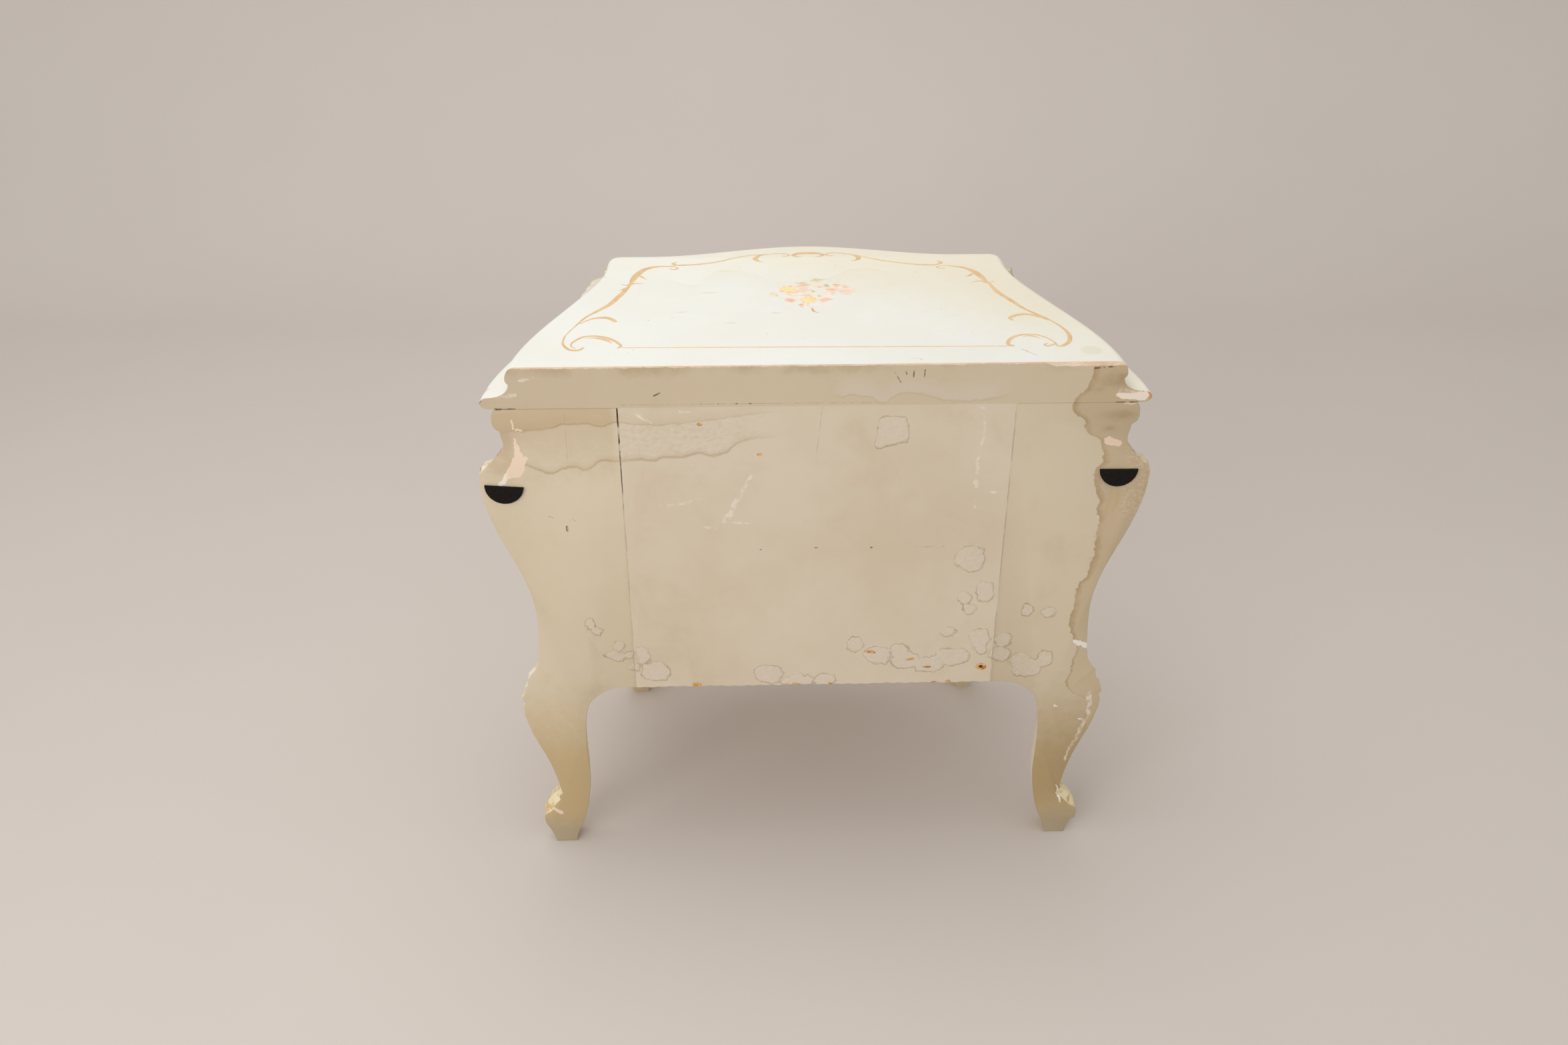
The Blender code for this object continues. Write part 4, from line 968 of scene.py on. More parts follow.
INNER_RUN = (
    (290.3, 0), (287.4, 14), (277.3, 39), (270.4, 69), (266.6, 103), (267.2, 137.5), (266.8, 166),
    (264.4, 194), (260.2, 211), (251.3, 221.9), (236.9, 231.9), (220.4, 235.9), (205, 236),
)
EDGE = runs_path((*EDGE_RUNS, WHOLE_FOOT), 8)[::-1] / 1000.0
WORN_EDGE = runs_path((*EDGE_RUNS[:4], *WORN_KNEE, *EDGE_RUNS[6:], WORN_FOOT), 8)[::-1] / 1000.0
END_GAP = 0.003


def edge_heights():
    """Heights of the points on a leg's edge, close together on the leaves and clear of both ends."""
    heights = np.unique((*EDGE[:, 1], *np.arange(0.2, 0.275, 0.0016), *np.arange(0.515, 0.548, 0.0016)))
    heights = heights[[True, *(np.diff(heights) > 0.0006)]]
    top = EDGE[-1, 1]
    return np.array([0.0, *[z for z in heights if END_GAP < z < top - END_GAP], top])


EDGE_HEIGHTS = edge_heights()


def leaf_zone(z):
    """Where the carved leaves are: knee, shoulder and foot."""
    return window(z, 0.175, 0.252, 0.02) + window(z, 0.475, 0.532, 0.02) + window(z, 0.040, 0.064, 0.012)


def edge_reach(z, off, path=EDGE, slant=None):
    """Half width of a carved leg edge at heights, off from -1 to 1 across it. Its lobes lean by slant."""
    z = np.asarray(z, float)
    lobed = window(z, 0.212, 0.258, 0.012) + window(z, 0.524, 0.541, 0.008)
    lean = 0.013 * (1 - off * off) if slant is None else slant
    base = np.interp(z + lean * lobed, path[:, 1], path[:, 0])
    fade = max(0.0, 1 - abs(off) ** 6)
    vein = -0.0011 * (0.5 + 0.5 * np.cos(2 * math.pi * (z + 0.011 * abs(off)) / 0.0125))
    rib = 0.0018 * math.exp(-((off / 0.17) ** 2))
    return base + fade * leaf_zone(z) * (vein * (1 - math.exp(-((off / 0.2) ** 2))) + rib)


# Edge, lean of its lobes, start of the foot's leaf, and how far the rims at knee and shoulder are cut back
LEG_WEAR = {1: (EDGE, 0.42, 0.050, 0.0025, 0.003), -1: (WORN_EDGE, 0.58, 0.046, 0.0012, 0.007)}


def back_leg_ring(depth, inset, side):
    """Outline of a back leg at a depth. The leaves' rims are cut back towards the flat back face."""
    path, lean, foot, knee, shoulder = LEG_WEAR[side]
    off = np.clip((depth - LEG_DEPTH / 2) / (LEG_DEPTH / 2), -1, 1)
    edge = edge_reach(EDGE_HEIGHTS, off, path, lean * depth)
    rim = 0.008 * window(EDGE_HEIGHTS, foot, foot + 0.016, 0.008)
    rim += knee * window(EDGE_HEIGHTS, 0.222, 0.262, 0.006)
    rim += shoulder * window(EDGE_HEIGHTS, 0.523, 0.538, 0.006)
    outer = np.stack((edge - rim * max(0.0, 1 - depth / 0.009), EDGE_HEIGHTS), axis=1)
    inner = smooth_path(np.array(INNER_RUN) / 1000.0, 5)
    inner[:, 0] += 0.003 * depth / LEG_DEPTH * window(inner[:, 1], -0.1, 0.19, 0.03)
    ring = np.vstack((outer, [(SEAM, CASE_TOP)], inner[::-1]))
    run = np.roll(ring, -1, axis=0) - np.roll(ring, 1, axis=0)
    run /= np.maximum(np.linalg.norm(run, axis=1, keepdims=True), 1e-9)
    shifted = ring + np.stack((-run[:, 1], run[:, 0]), axis=1) * inset
    shifted[ring[:, 0] < SEAM + 1e-4, 0] = SEAM
    return shifted


def make_back_legs():
    levels = [(0.0, 0.0009), (0.0003, 0.0003), (0.0009, 0.0)]
    levels += [(d, 0.0) for d in np.linspace(0.0022, LEG_DEPTH - 0.0022, 15)]
    levels += [(LEG_DEPTH - d, inset) for d, inset in levels[2::-1]]
    for name, side in SIDES:
        rings = []
        for depth, inset in levels:
            rings.append([at_plan(side * x, depth, z) for x, z in back_leg_ring(depth, inset, side)])
        count = len(rings[0])
        wall = count * (len(rings) - 1)
        picks = [int(i < 2 * count or i == wall) for i in range(wall + 2)]
        paints = [LEG, BACK[name]]
        node = "back_leg_" + name
        lofted("carved_back_leg_" + name, rings, paints, "case", "back_paint", node, 50.0, picks)


# Front legs: corner posts that run down into cabriole legs

INNER_STATIONS = ((0.0, -0.0137), (0.039, -0.0267), (0.103, -0.0374), (0.166, -0.0367), (ARCH_START, -0.0428))
# Angles from front to side, and from 1 to -1 across the carved edge
QUARTER_TURN = [(angle, angle / (math.pi / 4) - 1) for angle in np.linspace(math.pi / 2, 0, 25)]
CORNER_MIDDLE = np.array((TOP_FRONT_HALF - CORNER, SIDE_DEPTH - CORNER))


def corner_reach(z, off):
    return float(edge_reach(z, off)) - TOP_HALF


def post_section(z):
    """Outline of a corner post between the drawers and a side."""
    front = case_reach(z, FRONT_BULGE)
    flank = case_reach(z, SIDE_BULGE)
    points = [(OPENING_HALF, POST_BACK), (OPENING_HALF, front_face(OPENING_HALF, z))]
    for angle, off in QUARTER_TURN:
        plain = flank * math.cos(angle) ** 2 + front * math.sin(angle) ** 2
        far = CORNER + plain + (corner_reach(z, off) - plain) * math.sin(2 * angle) ** 2
        points.append(CORNER_MIDDLE + far * np.array((math.cos(angle), math.sin(angle))))
    points.append((side_face(POST_BACK, z), POST_BACK))
    return np.array(points)


def free_section(z):
    """Outline of a leg below the case, square inside and rounded outside."""
    inner = eased(INNER_STATIONS, z)
    shift = (CORNER + inner) / math.sqrt(2)
    x, depth = CORNER_MIDDLE + shift
    depth -= 0.017 * (1 - z / APRON_BOTTOM)
    rounding = 0.4
    points = []
    for angle, off in QUARTER_TURN:
        edge = (corner_reach(z, off) - inner) / (math.sqrt(2) - rounding * (math.sqrt(2) - 1))
        radius = rounding * edge
        flat = edge - radius
        points.append((x + flat + radius * math.cos(angle), depth + flat + radius * math.sin(angle)))
    return np.array([(x, depth), (x, points[0][1]), *points, (points[-1][0], depth)])


def make_front_legs():
    heights = [z for z in EDGE_HEIGHTS if z < ARCH_START] + list(np.linspace(ARCH_START, APRON_BOTTOM, 10))
    heights += [z for z in EDGE_HEIGHTS if APRON_BOTTOM + 0.001 < z < CASE_TOP - 0.001] + [CASE_TOP]
    for name, side in SIDES:
        rings = []
        for z in heights:
            climb = np.clip((z - ARCH_START) / (APRON_BOTTOM - ARCH_START), 0, 1)
            share = 1 - math.sqrt(max(0.0, 1 - climb**2))
            section = free_section(min(z, APRON_BOTTOM)) if share < 1 else post_section(z)
            if 0 < share < 1:
                section = section * (1 - share) + post_section(z) * share
            rings.append([at_plan(side * x, depth, z) for x, depth in section])
        lofted("carved_front_leg_" + name, rings, LEG, "case", "cream_paint", "front_leg_" + name, 42.0)


# Case sides, front rails and back panel


def make_sides():
    heights = np.linspace(APRON_BOTTOM, CASE_TOP, 60)
    for name, side in SIDES:
        rings = []
        for depth in np.linspace(LEG_DEPTH + GAP, POST_BACK - GAP, 36):
            outer = [at_plan(side * side_face(depth, z), depth, z) for z in heights]
            inner = [at_plan(side * (side_face(depth, z) - SIDE_THICKNESS), depth, z) for z in heights[::-1]]
            rings.append(outer + inner)
        lofted("bowed_side_" + name, rings, CREAM, "case", "cream_paint", "side_panel_" + name)


def bowed(name, columns, heights_at, inner_at, node, body):
    """A front piece on the bowed face, with softened long edges."""
    soft = 0.0012
    rings = []
    for x in columns:
        low, *middle, high = heights_at(x)
        outer = [at_plan(x, front_face(x, z), z) for z in (low + soft, *middle, high - soft)]
        ends = [at_plan(x, front_face(x, z) - soft, z) for z in (low, high)]
        inner = [at_plan(x, inner_at(x, z), z) for z in (high, *middle[::-1], low)]
        rings.append([ends[0], *outer, ends[1], *inner])
    lofted(name, rings, CREAM, body, "cream_paint", node)


def behind_face(x, z):
    return front_face(x, z) - FRONT_THICKNESS


def apron_heights(x):
    bottom = eased(((0.0, APRON_BOTTOM - 0.016), (OPENING_HALF, APRON_BOTTOM)), abs(x))
    return np.linspace(bottom, APRON_TOP, 14)


def make_rails():
    columns = np.linspace(-OPENING_HALF + GAP, OPENING_HALF - GAP, 61)
    for name, heights, back in (
        ("top", np.linspace(TOP_RAIL_BOTTOM, CASE_TOP, 14), 0.318), ("mid", np.linspace(*MID_RAIL, 6), 0.296),
    ):
        bowed(f"bowed_{name}_rail", columns, lambda x: heights, lambda x, z: back, name + "_rail", "case")
    bowed("shaped_apron", columns, apron_heights, behind_face, "apron", "case")


def make_panel():
    """Back panel with softened edges and a slightly ragged lower edge."""
    half = SEAM - 0.00008
    top = UNDERSIDE - 0.00003
    rings = []
    for depth, inset in ((0.0, 0.0005), (0.0005, 0.0), (0.0115, 0.0), (0.012, 0.0005)):
        ring = []
        for x in np.linspace(-half, half, 160):
            ragged = 0.0005 * math.sin(91 * x) * math.sin(37 * x + 1) + 0.0004 * math.sin(430 * x)
            ring.append(at_plan(x, depth, APRON_BOTTOM + inset + ragged))
        rings.append(ring + [at_plan(half, depth, top), at_plan(-half, depth, top)])
    lofted("painted_back_panel", rings, BACK["panel"], "case", "back_paint", "back_panel")


# Drawer fronts

OPENINGS = {"lower": (APRON_TOP, MID_RAIL[0]), "upper": (MID_RAIL[1], TOP_RAIL_BOTTOM)}
DRAWER_HALF = 0.1865
DRAWER_PLAY = 0.0015
SEAT = DRAWER_HALF - 0.022


def drawer_inner(x, z):
    if abs(x) > SEAT - 1e-6:
        return front_line(OPENING_HALF) + 0.003 - FRONT_THICKNESS
    return behind_face(x, z)


def make_drawer_fronts():
    inside = np.linspace(-SEAT + 0.011, SEAT - 0.011, 53)
    columns = [-DRAWER_HALF, -DRAWER_HALF + 0.006, -SEAT, *inside, SEAT, DRAWER_HALF - 0.006, DRAWER_HALF]
    for name, (low, high) in OPENINGS.items():
        heights = np.linspace(low + DRAWER_PLAY, high - DRAWER_PLAY, 30)
        drawer = name + "_drawer"
        bowed(name + "_bowed_front", columns, lambda x: heights, drawer_inner, drawer + "_front", drawer)


# Pulls: a plate with two turned posts, and a bail that swings in their heads

PULL_X = 0.112
PULL_HALF = 0.040
POST_REACH = 0.016
PLATE_HALF = 0.054
PLATE_SEAT = 0.0008
HEAD = 0.006
BEND = 0.006
WIRE = 0.0020
TIP = 0.00004
# Radius and place along a post behind its head
STEM = (
    (0.0036, 0.0060), (0.0038, 0.0072), (0.0050, 0.0080), (0.0053, 0.0088), (0.0048, 0.0096),
    (0.0039, 0.0103), (0.0040, 0.0113), (0.0056, 0.0121), (0.0074, 0.0127), (0.0079, 0.0134),
    (0.0076, 0.0141), (0.0020, 0.0146),
)


def pull_frames(x, z):
    """Frames of a pull: square to the drawer's face for the posts, and upright for the bail."""
    feet = [at_plan(place, front_face(place, z), z) for place in (x - PULL_HALF, x + PULL_HALF)]
    across = (feet[1] - feet[0]).normalized()
    rise = Vector((0.0, -slope_of(lambda height: front_face(x, height), z), 1.0))
    inward = rise.cross(across).normalized()
    pivot = (feet[0] + feet[1]) / 2 - inward * POST_REACH
    frames = []
    for direction in (inward, Vector((0.0, 0.0, 1.0)).cross(across)):
        turn = Matrix((across, direction, across.cross(direction))).transposed().to_4x4()
        frames.append(Matrix.Translation(pivot) @ turn)
    return frames


def turned(verts, faces, profile, place, sides=28):
    """Adds a closed turned solid of (radius, place along y), pointed at both ends."""
    angles = np.linspace(0, 2 * math.pi, sides, endpoint=False)
    rings = []
    for radius, along in profile:
        rings.append([place @ Vector((radius * math.cos(a), along, radius * math.sin(a))) for a in angles])
    add_tube(verts, faces, rings)


def plate_rise(along):
    """Half height of the plate: lobes that swell at the posts and end in a leaf point."""
    rises = (
        (0.0, 0.0072), (0.016, 0.0050), (0.028, 0.0066), (PULL_HALF, 0.0125), (0.049, 0.0055),
        (PLATE_HALF, 0.0008),
    )
    return eased(rises, abs(along)) * (1 + 0.05 * math.cos(abs(along) * 900))


def plate_solid(verts, faces, middle, z):
    shares = np.linspace(-1, 1, 13)
    domes = [0.0] * len(shares)
    for s in shares[::-1]:
        round_top = math.sqrt(max(0.0, 1 - s * s))
        domes.append(0.0006 + 0.0015 * round_top + 0.0005 * math.cos(3 * math.pi * s) * (1 - s * s))
    rings = []
    for along in np.linspace(-PLATE_HALF, PLATE_HALF, 73):
        x = middle + along
        heights = z + plate_rise(along) * np.concatenate((shares, shares[::-1]))
        rings.append([at_plan(x, front_face(x, h) + PLATE_SEAT + dome, h) for h, dome in zip(heights, domes)])
    add_tube(verts, faces, rings)


def make_plate(drawer, label, side, z, post_frame):
    """A plate and its two posts in one casting. The posts reach through to the nuts."""
    verts, faces = [], []
    plate_solid(verts, faces, side * PULL_X, z)
    angles = np.linspace(0, math.radians(140), 14)
    head = [(max(HEAD * math.sin(a), TIP), -HEAD * math.cos(a)) for a in angles]
    for place, end in (("outer", side), ("inner", -side)):
        low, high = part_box(f"{label}_{place}_nut")
        seat = post_frame @ Matrix.Translation((end * PULL_HALF, 0.0, 0.0))
        shank = (seat.inverted() @ ((low + high) / 2)).y + 0.005
        point = [(0.0020, shank), (0.0014, shank + 0.0006), (TIP, shank + 0.0006)]
        turned(verts, faces, [*head, *STEM, *point], seat)
    node = label + "_pull_plate"
    piece(label + "_cast_plate", verts, faces, BRASS, drawer + "_drawer", "brass", [node], 45.0)


def bail_path():
    """The middle of a bail's wire, from one post round to the other."""
    bend_x = PULL_HALF - HEAD - 0.004
    grip = bend_x - BEND
    quarter = math.pi / 2
    half = [(PULL_HALF, 0.0), (PULL_HALF - 0.002, 0.0), (PULL_HALF - HEAD - 0.0005, 0.0)]
    half += [(bend_x - BEND * math.sin(a), BEND * (math.cos(a) - 1)) for a in np.linspace(0, quarter, 8)]
    half += [(grip * math.cos(a), -BEND - 0.020 * math.sin(a)) for a in np.linspace(0, quarter, 22)[1:]]
    return np.array(half + [(-x, height) for x, height in reversed(half[:-1])])


def make_bail(label, bail_frame):
    """A bail of round wire with beads on its grip."""
    path = bail_path()
    rings = []
    for (x, height), (dx, dz) in zip(path, unit_runs(path)):
        radius = WIRE
        if height < -0.012:
            radius += 0.0010 * math.exp(-(((abs(x) - 0.0085) / 0.0014) ** 2))
            radius += 0.0008 * math.exp(-((x / 0.0052) ** 4)) + 0.0004 * math.exp(-((x / 0.02) ** 2))
        ring = []
        for a in np.linspace(0, 2 * math.pi, 14, endpoint=False):
            out = radius * math.cos(a)
            ring.append(bail_frame @ Vector((x - dz * out, radius * math.sin(a), height + dx * out)))
        rings.append(ring)
    lofted(label + "_cast_bail", rings, BRASS, label + "_bail_body", "brass", label + "_bail", 50.0)


def make_pulls():
    for drawer, (low, high) in OPENINGS.items():
        z = (low + high) / 2
        for name, side in SIDES:
            label = drawer + "_" + name
            post_frame, bail_frame = pull_frames(side * PULL_X, z)
            make_plate(drawer, label, side, z, post_frame)
            make_bail(label, bail_frame)


# Felt pads on the back of the shoulders

PAD_RADIUS = 0.0203
# Height above the back and size of each ring of a pad
PAD_RINGS = (
    (0.0003, 0.98), (0.0006, 1.0), (0.0020, 1.0), (0.0027, 0.985), (0.0031, 0.955), (0.0033, 0.88),
    (0.00335, 0.6), (0.0034, 0.25), (0.0034, 0.03),
)


def make_pad(name, x, z, tilt):
    """A half-round pad with a slightly fuzzy rim."""
    outline = [(math.cos(a), -math.sin(a)) for a in np.linspace(0, math.pi, 48)]
    outline += [(-1 + 2 * s, 0.0) for s in np.linspace(0, 1, 24, endpoint=False)[1:]]
    middle = np.array((0.0, -0.0086))
    turn = Matrix.Translation(at_plan(x, 0.0, z)) @ Matrix.Rotation(math.radians(tilt), 4, "Y")
    rings = []
    for out, size in PAD_RINGS:
        ring = []
        for i, spot in enumerate(np.array(outline) * PAD_RADIUS):
            fuzz = 1 + 0.006 * math.sin(7.3 * i) * math.sin(2.1 * i + 9 * out)
            u, v = middle + (spot - middle) * size * fuzz
            ring.append(turn @ Vector((u, out, v)))
        rings.append(ring)
    pad = lofted("felt_pad_" + name, rings, FELT, "case", "black_felt", "bumper_pad_" + name, 60.0)


# Painted scrolls and flowers, as thin strips of colour on the cream paint

YELLOW = scroll_finish("flower_yellow", rgb(252, 238, 180), rgb(248, 226, 156))
CORAL = scroll_finish("flower_coral", rgb(246, 212, 186), rgb(239, 182, 148))
BLUSH = scroll_finish("flower_blush", rgb(250, 240, 226), rgb(246, 224, 204))
LEAF = scroll_finish("leaf_tan", rgb(232, 222, 190), rgb(212, 192, 148))
BROWN = scroll_finish("stem_brown", rgb(220, 190, 150), rgb(204, 168, 124))
PAINTS = [SCROLL, LINE, YELLOW, CORAL, BLUSH, LEAF, BROWN]

# Touches of the bouquet: place, half sizes and paint, in millimetres
SPRAY = (
    (-5, 40, 7.7, 3.2, LEAF), (13, 51, 6.7, 4.2, LEAF), (23, 33, 3.3, 3.6, LEAF), (13, -1, 2.3, 2.2, LEAF),
    (-39, 6, 5.6, 6.2, BLUSH), (-35, 3, 2.9, 2.2, LEAF), (-40, 9, 2.6, 2.2, LEAF), (7, 15, 3.0, 2.2, LEAF),
    (-16, 6, 6.2, 6.6, BLUSH), (-19, 9, 5.6, 3.5, CORAL), (3, 1, 7.5, 5.7, BLUSH), (0, -1, 6.2, 3.0, CORAL),
    (-5, 31, 7.6, 4.1, CORAL), (-5, 19, 6.3, 6.3, CORAL), (11, 30, 7.5, 3.6, BLUSH),
    (14, 30, 4.6, 1.8, CORAL), (35, 32, 4.7, 3.6, CORAL), (44, 28, 6.0, 2.7, CORAL),
    (48, 21, 5.6, 3.6, BLUSH), (52, 17, 2.3, 4.9, BLUSH), (44, 11, 7.9, 5.3, CORAL),
    (49, 14, 4.6, 2.2, BLUSH), (24, 5, 6.9, 4.0, BLUSH), (28, 7, 3.6, 2.2, CORAL),
    (19, -12, 6.8, 4.7, CORAL), (23, -11, 3.6, 3.0, BLUSH), (16, -25, 6.1, 3.0, BLUSH),
    (-8, -29, 3.2, 3.4, CORAL), (-1, -30, 2.6, 4.6, BLUSH), (-20, -13, 5.8, 4.7, CORAL),
    (-24, -12, 3.2, 3.0, BLUSH),
)
BLOSSOMS = (
    (-22, 22, 11.0, 10.0, CORAL, YELLOW), (0, -13, 10.6, 9.2, CORAL, YELLOW),
    (27, 19, 10.6, 6.2, BLUSH, CORAL),
)
STALK = ((3, -37), (4.3, -46), (7.4, -50.5), (10.8, -52.7))
TOUCH_FULLNESS = 1.34
BLOSSOM_FULLNESS = 1.1

# Paint stands this far above the surface and is rooted this far below it, in metres
PAINT_LIFT = 0.00012
PAINT_ROOT = -0.0001

# Strokes of a corner scroll: points, widths and place of the widest part
CORNER_STROKES = (
    (((30, 0), (18, -2), (6, 0), (-1, 7), (0, 18), (2, 32)), 1.2, 4.6, 1.0, 0.5),
    (((8, 4), (14, 7), (15, 13), (10, 16), (6, 13), (8, 10)), 1.0, 2.8, 1.4, 0.5),
    (((16, -1), (22, 5), (30, 6), (34, 3)), 0.8, 3.2, 0.6, 0.4),
    (((0, 16), (6, 22), (7, 30), (4, 34)), 0.8, 3.2, 0.6, 0.4),
)


class Painter:
    """Brush strokes gathered into one mesh on a surface, given as place(u, v, lift), in millimetres."""

    def __init__(self, place):
        self.place = place
        self.verts, self.faces, self.picks = [], [], []
        self.count = 0

    def stroke(self, points, first, middle, last, paint, peak=0.5, steps=6, rise=0.0):
        """One stroke, which swells from first to middle and thins to last, laid higher by rise."""
        path = smooth_path(points, steps)
        widths = swell(len(path), first, middle, last, peak)
        before = len(self.faces)
        lift = PAINT_LIFT + 0.00002 * (self.count % 7) + rise
        ribbon(self.verts, self.faces, path, widths, self.place, PAINT_ROOT, lift)
        self.picks += [PAINTS.index(paint)] * (len(self.faces) - before)
        self.count += 1

    def dab(self, u, v, half_u, half_v, paint, tilt=0.0, rise=0.0):
        """A touch of the brush: a few streaks side by side, some of them paler."""
        count = max(2, round(half_v / 1.1))
        width = 2.4 * half_v / count
        for i, share in enumerate(np.linspace(-0.78, 0.78, count)):
            wobble = math.sin(13 * u + 7 * v + 5 * i)
            reach = half_u * math.sqrt(1 - share * share) * (0.9 + 0.22 * wobble)
            middle = u + 0.16 * half_u * math.sin(9 * v + 4 * i)
            level = v + share * half_v
            spots = [(middle + reach * s, level + tilt * reach * s) for s in (-1.0, -0.4, 0.3, 1.0)]
            shade = BLUSH if paint is CORAL and i % 3 == 1 else paint
            self.stroke(spots, 0.25 * width, width, 0.15 * width, shade, 0.42 + 0.2 * wobble, 3, rise)

    def flower(self, u, v, half_u, half_v, rim, heart, petals=7):
        """A blossom: a ring of touches round a wide heart."""
        for i in range(petals):
            a = 2 * math.pi * (i + 0.3) / petals
            petal_u, petal_v = u + 0.66 * half_u * math.cos(a), v + 0.66 * half_v * math.sin(a)
            self.dab(petal_u, petal_v, 0.36 * half_u, 0.34 * half_v, rim)
        self.dab(u + 0.05 * half_u, v, 0.86 * half_u, 0.80 * half_v, heart, 0.0, 0.0003)

    def bouquet(self, u, v, size):
        """A small spray of flowers with leaves and a stem."""
        stalk = [(u + a * size, v + b * size) for a, b in STALK]
        self.stroke(stalk, 2.6 * size, 2.8 * size, 0.5 * size, BROWN, 0.3)
        full = TOUCH_FULLNESS * size
        for a, b, c, d, paint in SPRAY:
            rise = 0.0001 if paint is CORAL else 0.0
            self.dab(u + a * size, v + b * size, c * full, d * full, paint, 0.25 * math.sin(a + b), rise)
        full = BLOSSOM_FULLNESS * size
        for a, b, c, d, rim, heart in BLOSSOMS:
            self.flower(u + a * size, v + b * size, c * full, d * full, rim, heart)

    def corner(self, u, v, right, up, size):
        """A scroll in the corner of a frame, opening along right and up (each 1 or -1)."""
        for spots, first, middle, last, peak in CORNER_STROKES:
            points = [(u + right * a * size, v + up * b * size) for a, b in spots]
            self.stroke(points, first * size, middle * size, last * size, SCROLL, peak)

    def border(self, low_u, high_u, low_v, high_v, size):
        """A thin line frame with a scroll in each corner."""
        for u, right in ((low_u, 1), (high_u, -1)):
            for v, up in ((low_v, 1), (high_v, -1)):
                self.corner(u, v, right, up, size)
        reach = 31 * size
        for v in (low_v, high_v):
            self.stroke([(u, v) for u in np.linspace(low_u + reach, high_u - reach, 12)], 1.2, 1.5, 1.2, LINE)
        for u in (low_u, high_u):
            spots = [(u + 0.001, v) for v in np.linspace(low_v + reach, high_v - reach, 12)]
            self.stroke(spots, 1.2, 1.5, 1.2, LINE)

    def piece(self, name, body):
        piece(name, self.verts, self.faces, PAINTS, body, "cream_paint", (), 60.0, self.picks)


# Scrolls of the top: points, widths and place of the widest part
SCROLLS = (
    # Left side
    ([(-203, 232), (-206, 218), (-212, 198), (-221, 171), (-233, 151), (-244, 132), (-252, 108),
      (-258, 90)], 3.4, 6.4, 1.4, 0.3),
    ([(-252, 108), (-258, 88), (-260, 78), (-260, 62), (-257, 53), (-252, 45), (-245, 42), (-240, 44),
      (-237, 50)], 1.2, 3.8, 2.8, 0.75),
    ([(-245, 47), (-249, 51), (-251, 56), (-250, 63), (-246, 71), (-240, 78), (-231, 80), (-222, 78),
      (-213, 73), (-205, 64), (-199, 53), (-202, 47)], 1.4, 4.6, 2.4, 0.7),
    ([(-238, 73), (-230, 75), (-221, 72), (-213, 66), (-209, 59)], 0.8, 4.0, 0.8, 0.6),
    ([(-248, 115), (-241, 124), (-234, 130), (-225, 132), (-218, 130), (-212, 123), (-210, 119)], 1.2, 6.0,
      4.2, 0.6),
    ([(-214, 236), (-207, 231), (-199, 237), (-186, 236)], 0.6, 5.0, 0.5, 0.55),
    ([(-214, 214), (-209, 219), (-204, 226)], 0.6, 3.6, 1.4, 0.6),
    ([(-203, 234), (-201, 247), (-197, 266), (-189, 285), (-175, 294), (-160, 295), (-153, 297)], 3.4, 8.6,
      1.8, 0.3),
    ([(-193, 262), (-188, 254), (-184, 250)], 3.4, 3.0, 0.5, 0.3),
    ([(-149, 297), (-153, 299), (-157, 304), (-153, 308)], 1.6, 4.2, 2.2, 0.6),
    ([(-160, 294), (-152, 291), (-151, 286), (-156, 283), (-160, 287)], 1.2, 2.6, 1.8, 0.5),
    # Right side
    ([(211, 228), (213, 214), (217, 195), (227, 171), (235, 150), (246, 131), (256, 117), (262, 104)], 3.4,
      6.0, 2.2, 0.25),
    ([(250, 124), (257, 113), (264, 100), (269, 83), (270, 67), (266, 52), (258, 42), (252, 41), (251, 48)],
      1.2, 4.8, 2.4, 0.6),
    ([(251, 48), (246, 43), (241, 41), (239, 45), (243, 48)], 1.4, 2.6, 1.6, 0.5),
    ([(257, 111), (249, 121), (241, 128), (232, 130), (221, 125), (216, 119), (218, 113)], 1.2, 5.6, 3.4,
      0.5),
    ([(207, 42), (202, 46), (203, 54), (208, 63), (216, 70), (226, 73), (235, 72), (244, 64), (249, 55),
      (252, 47)], 4.0, 4.4, 1.8, 0.2),
    ([(220, 67), (228, 69), (234, 66), (238, 61)], 0.8, 3.6, 0.8, 0.5),
    ([(190, 231), (202, 235), (209, 230), (218, 234)], 0.5, 4.6, 0.6, 0.5),
    ([(209, 232), (206, 245), (200, 266), (190, 280), (178, 286), (166, 290)], 3.2, 8.2, 1.6, 0.3),
    ([(197, 260), (191, 253), (187, 250)], 3.4, 3.0, 0.5, 0.3),
    ([(154, 291), (159, 293), (165, 300), (161, 305)], 1.6, 4.2, 2.2, 0.6),
    ([(168, 290), (160, 287), (158, 282), (163, 279), (167, 283)], 1.2, 2.6, 1.8, 0.5),
    # Front
    ([(-150, 298), (-132, 300), (-108, 307), (-84, 322), (-68, 330), (-48, 334), (-32, 337), (-21, 336),
      (-17, 331), (-21, 327), (-25, 328)], 4.4, 2.2, 2.0, 0.4),
    ([(157, 291), (139, 293), (116, 300), (95, 309), (80, 318), (64, 329), (46, 337), (34, 338), (28, 333),
      (31, 328), (36, 328)], 4.0, 2.2, 2.0, 0.4),
    ([(-43, 335), (-54, 329), (-58, 319), (-55, 311), (-48, 307)], 1.0, 6.4, 0.8, 0.5),
    ([(52, 335), (62, 329), (67, 320), (64, 312), (57, 308)], 1.0, 6.4, 0.8, 0.5),
    ([(-13, 330), (-7, 336), (5, 338), (17, 337), (26, 331)], 4.4, 7.4, 4.4, 0.5),
    ([(-13, 331), (-8, 326), (-1, 326)], 4.0, 3.4, 0.5, 0.3),
    ([(26, 332), (20, 326), (13, 326)], 4.0, 3.4, 0.5, 0.3),
)


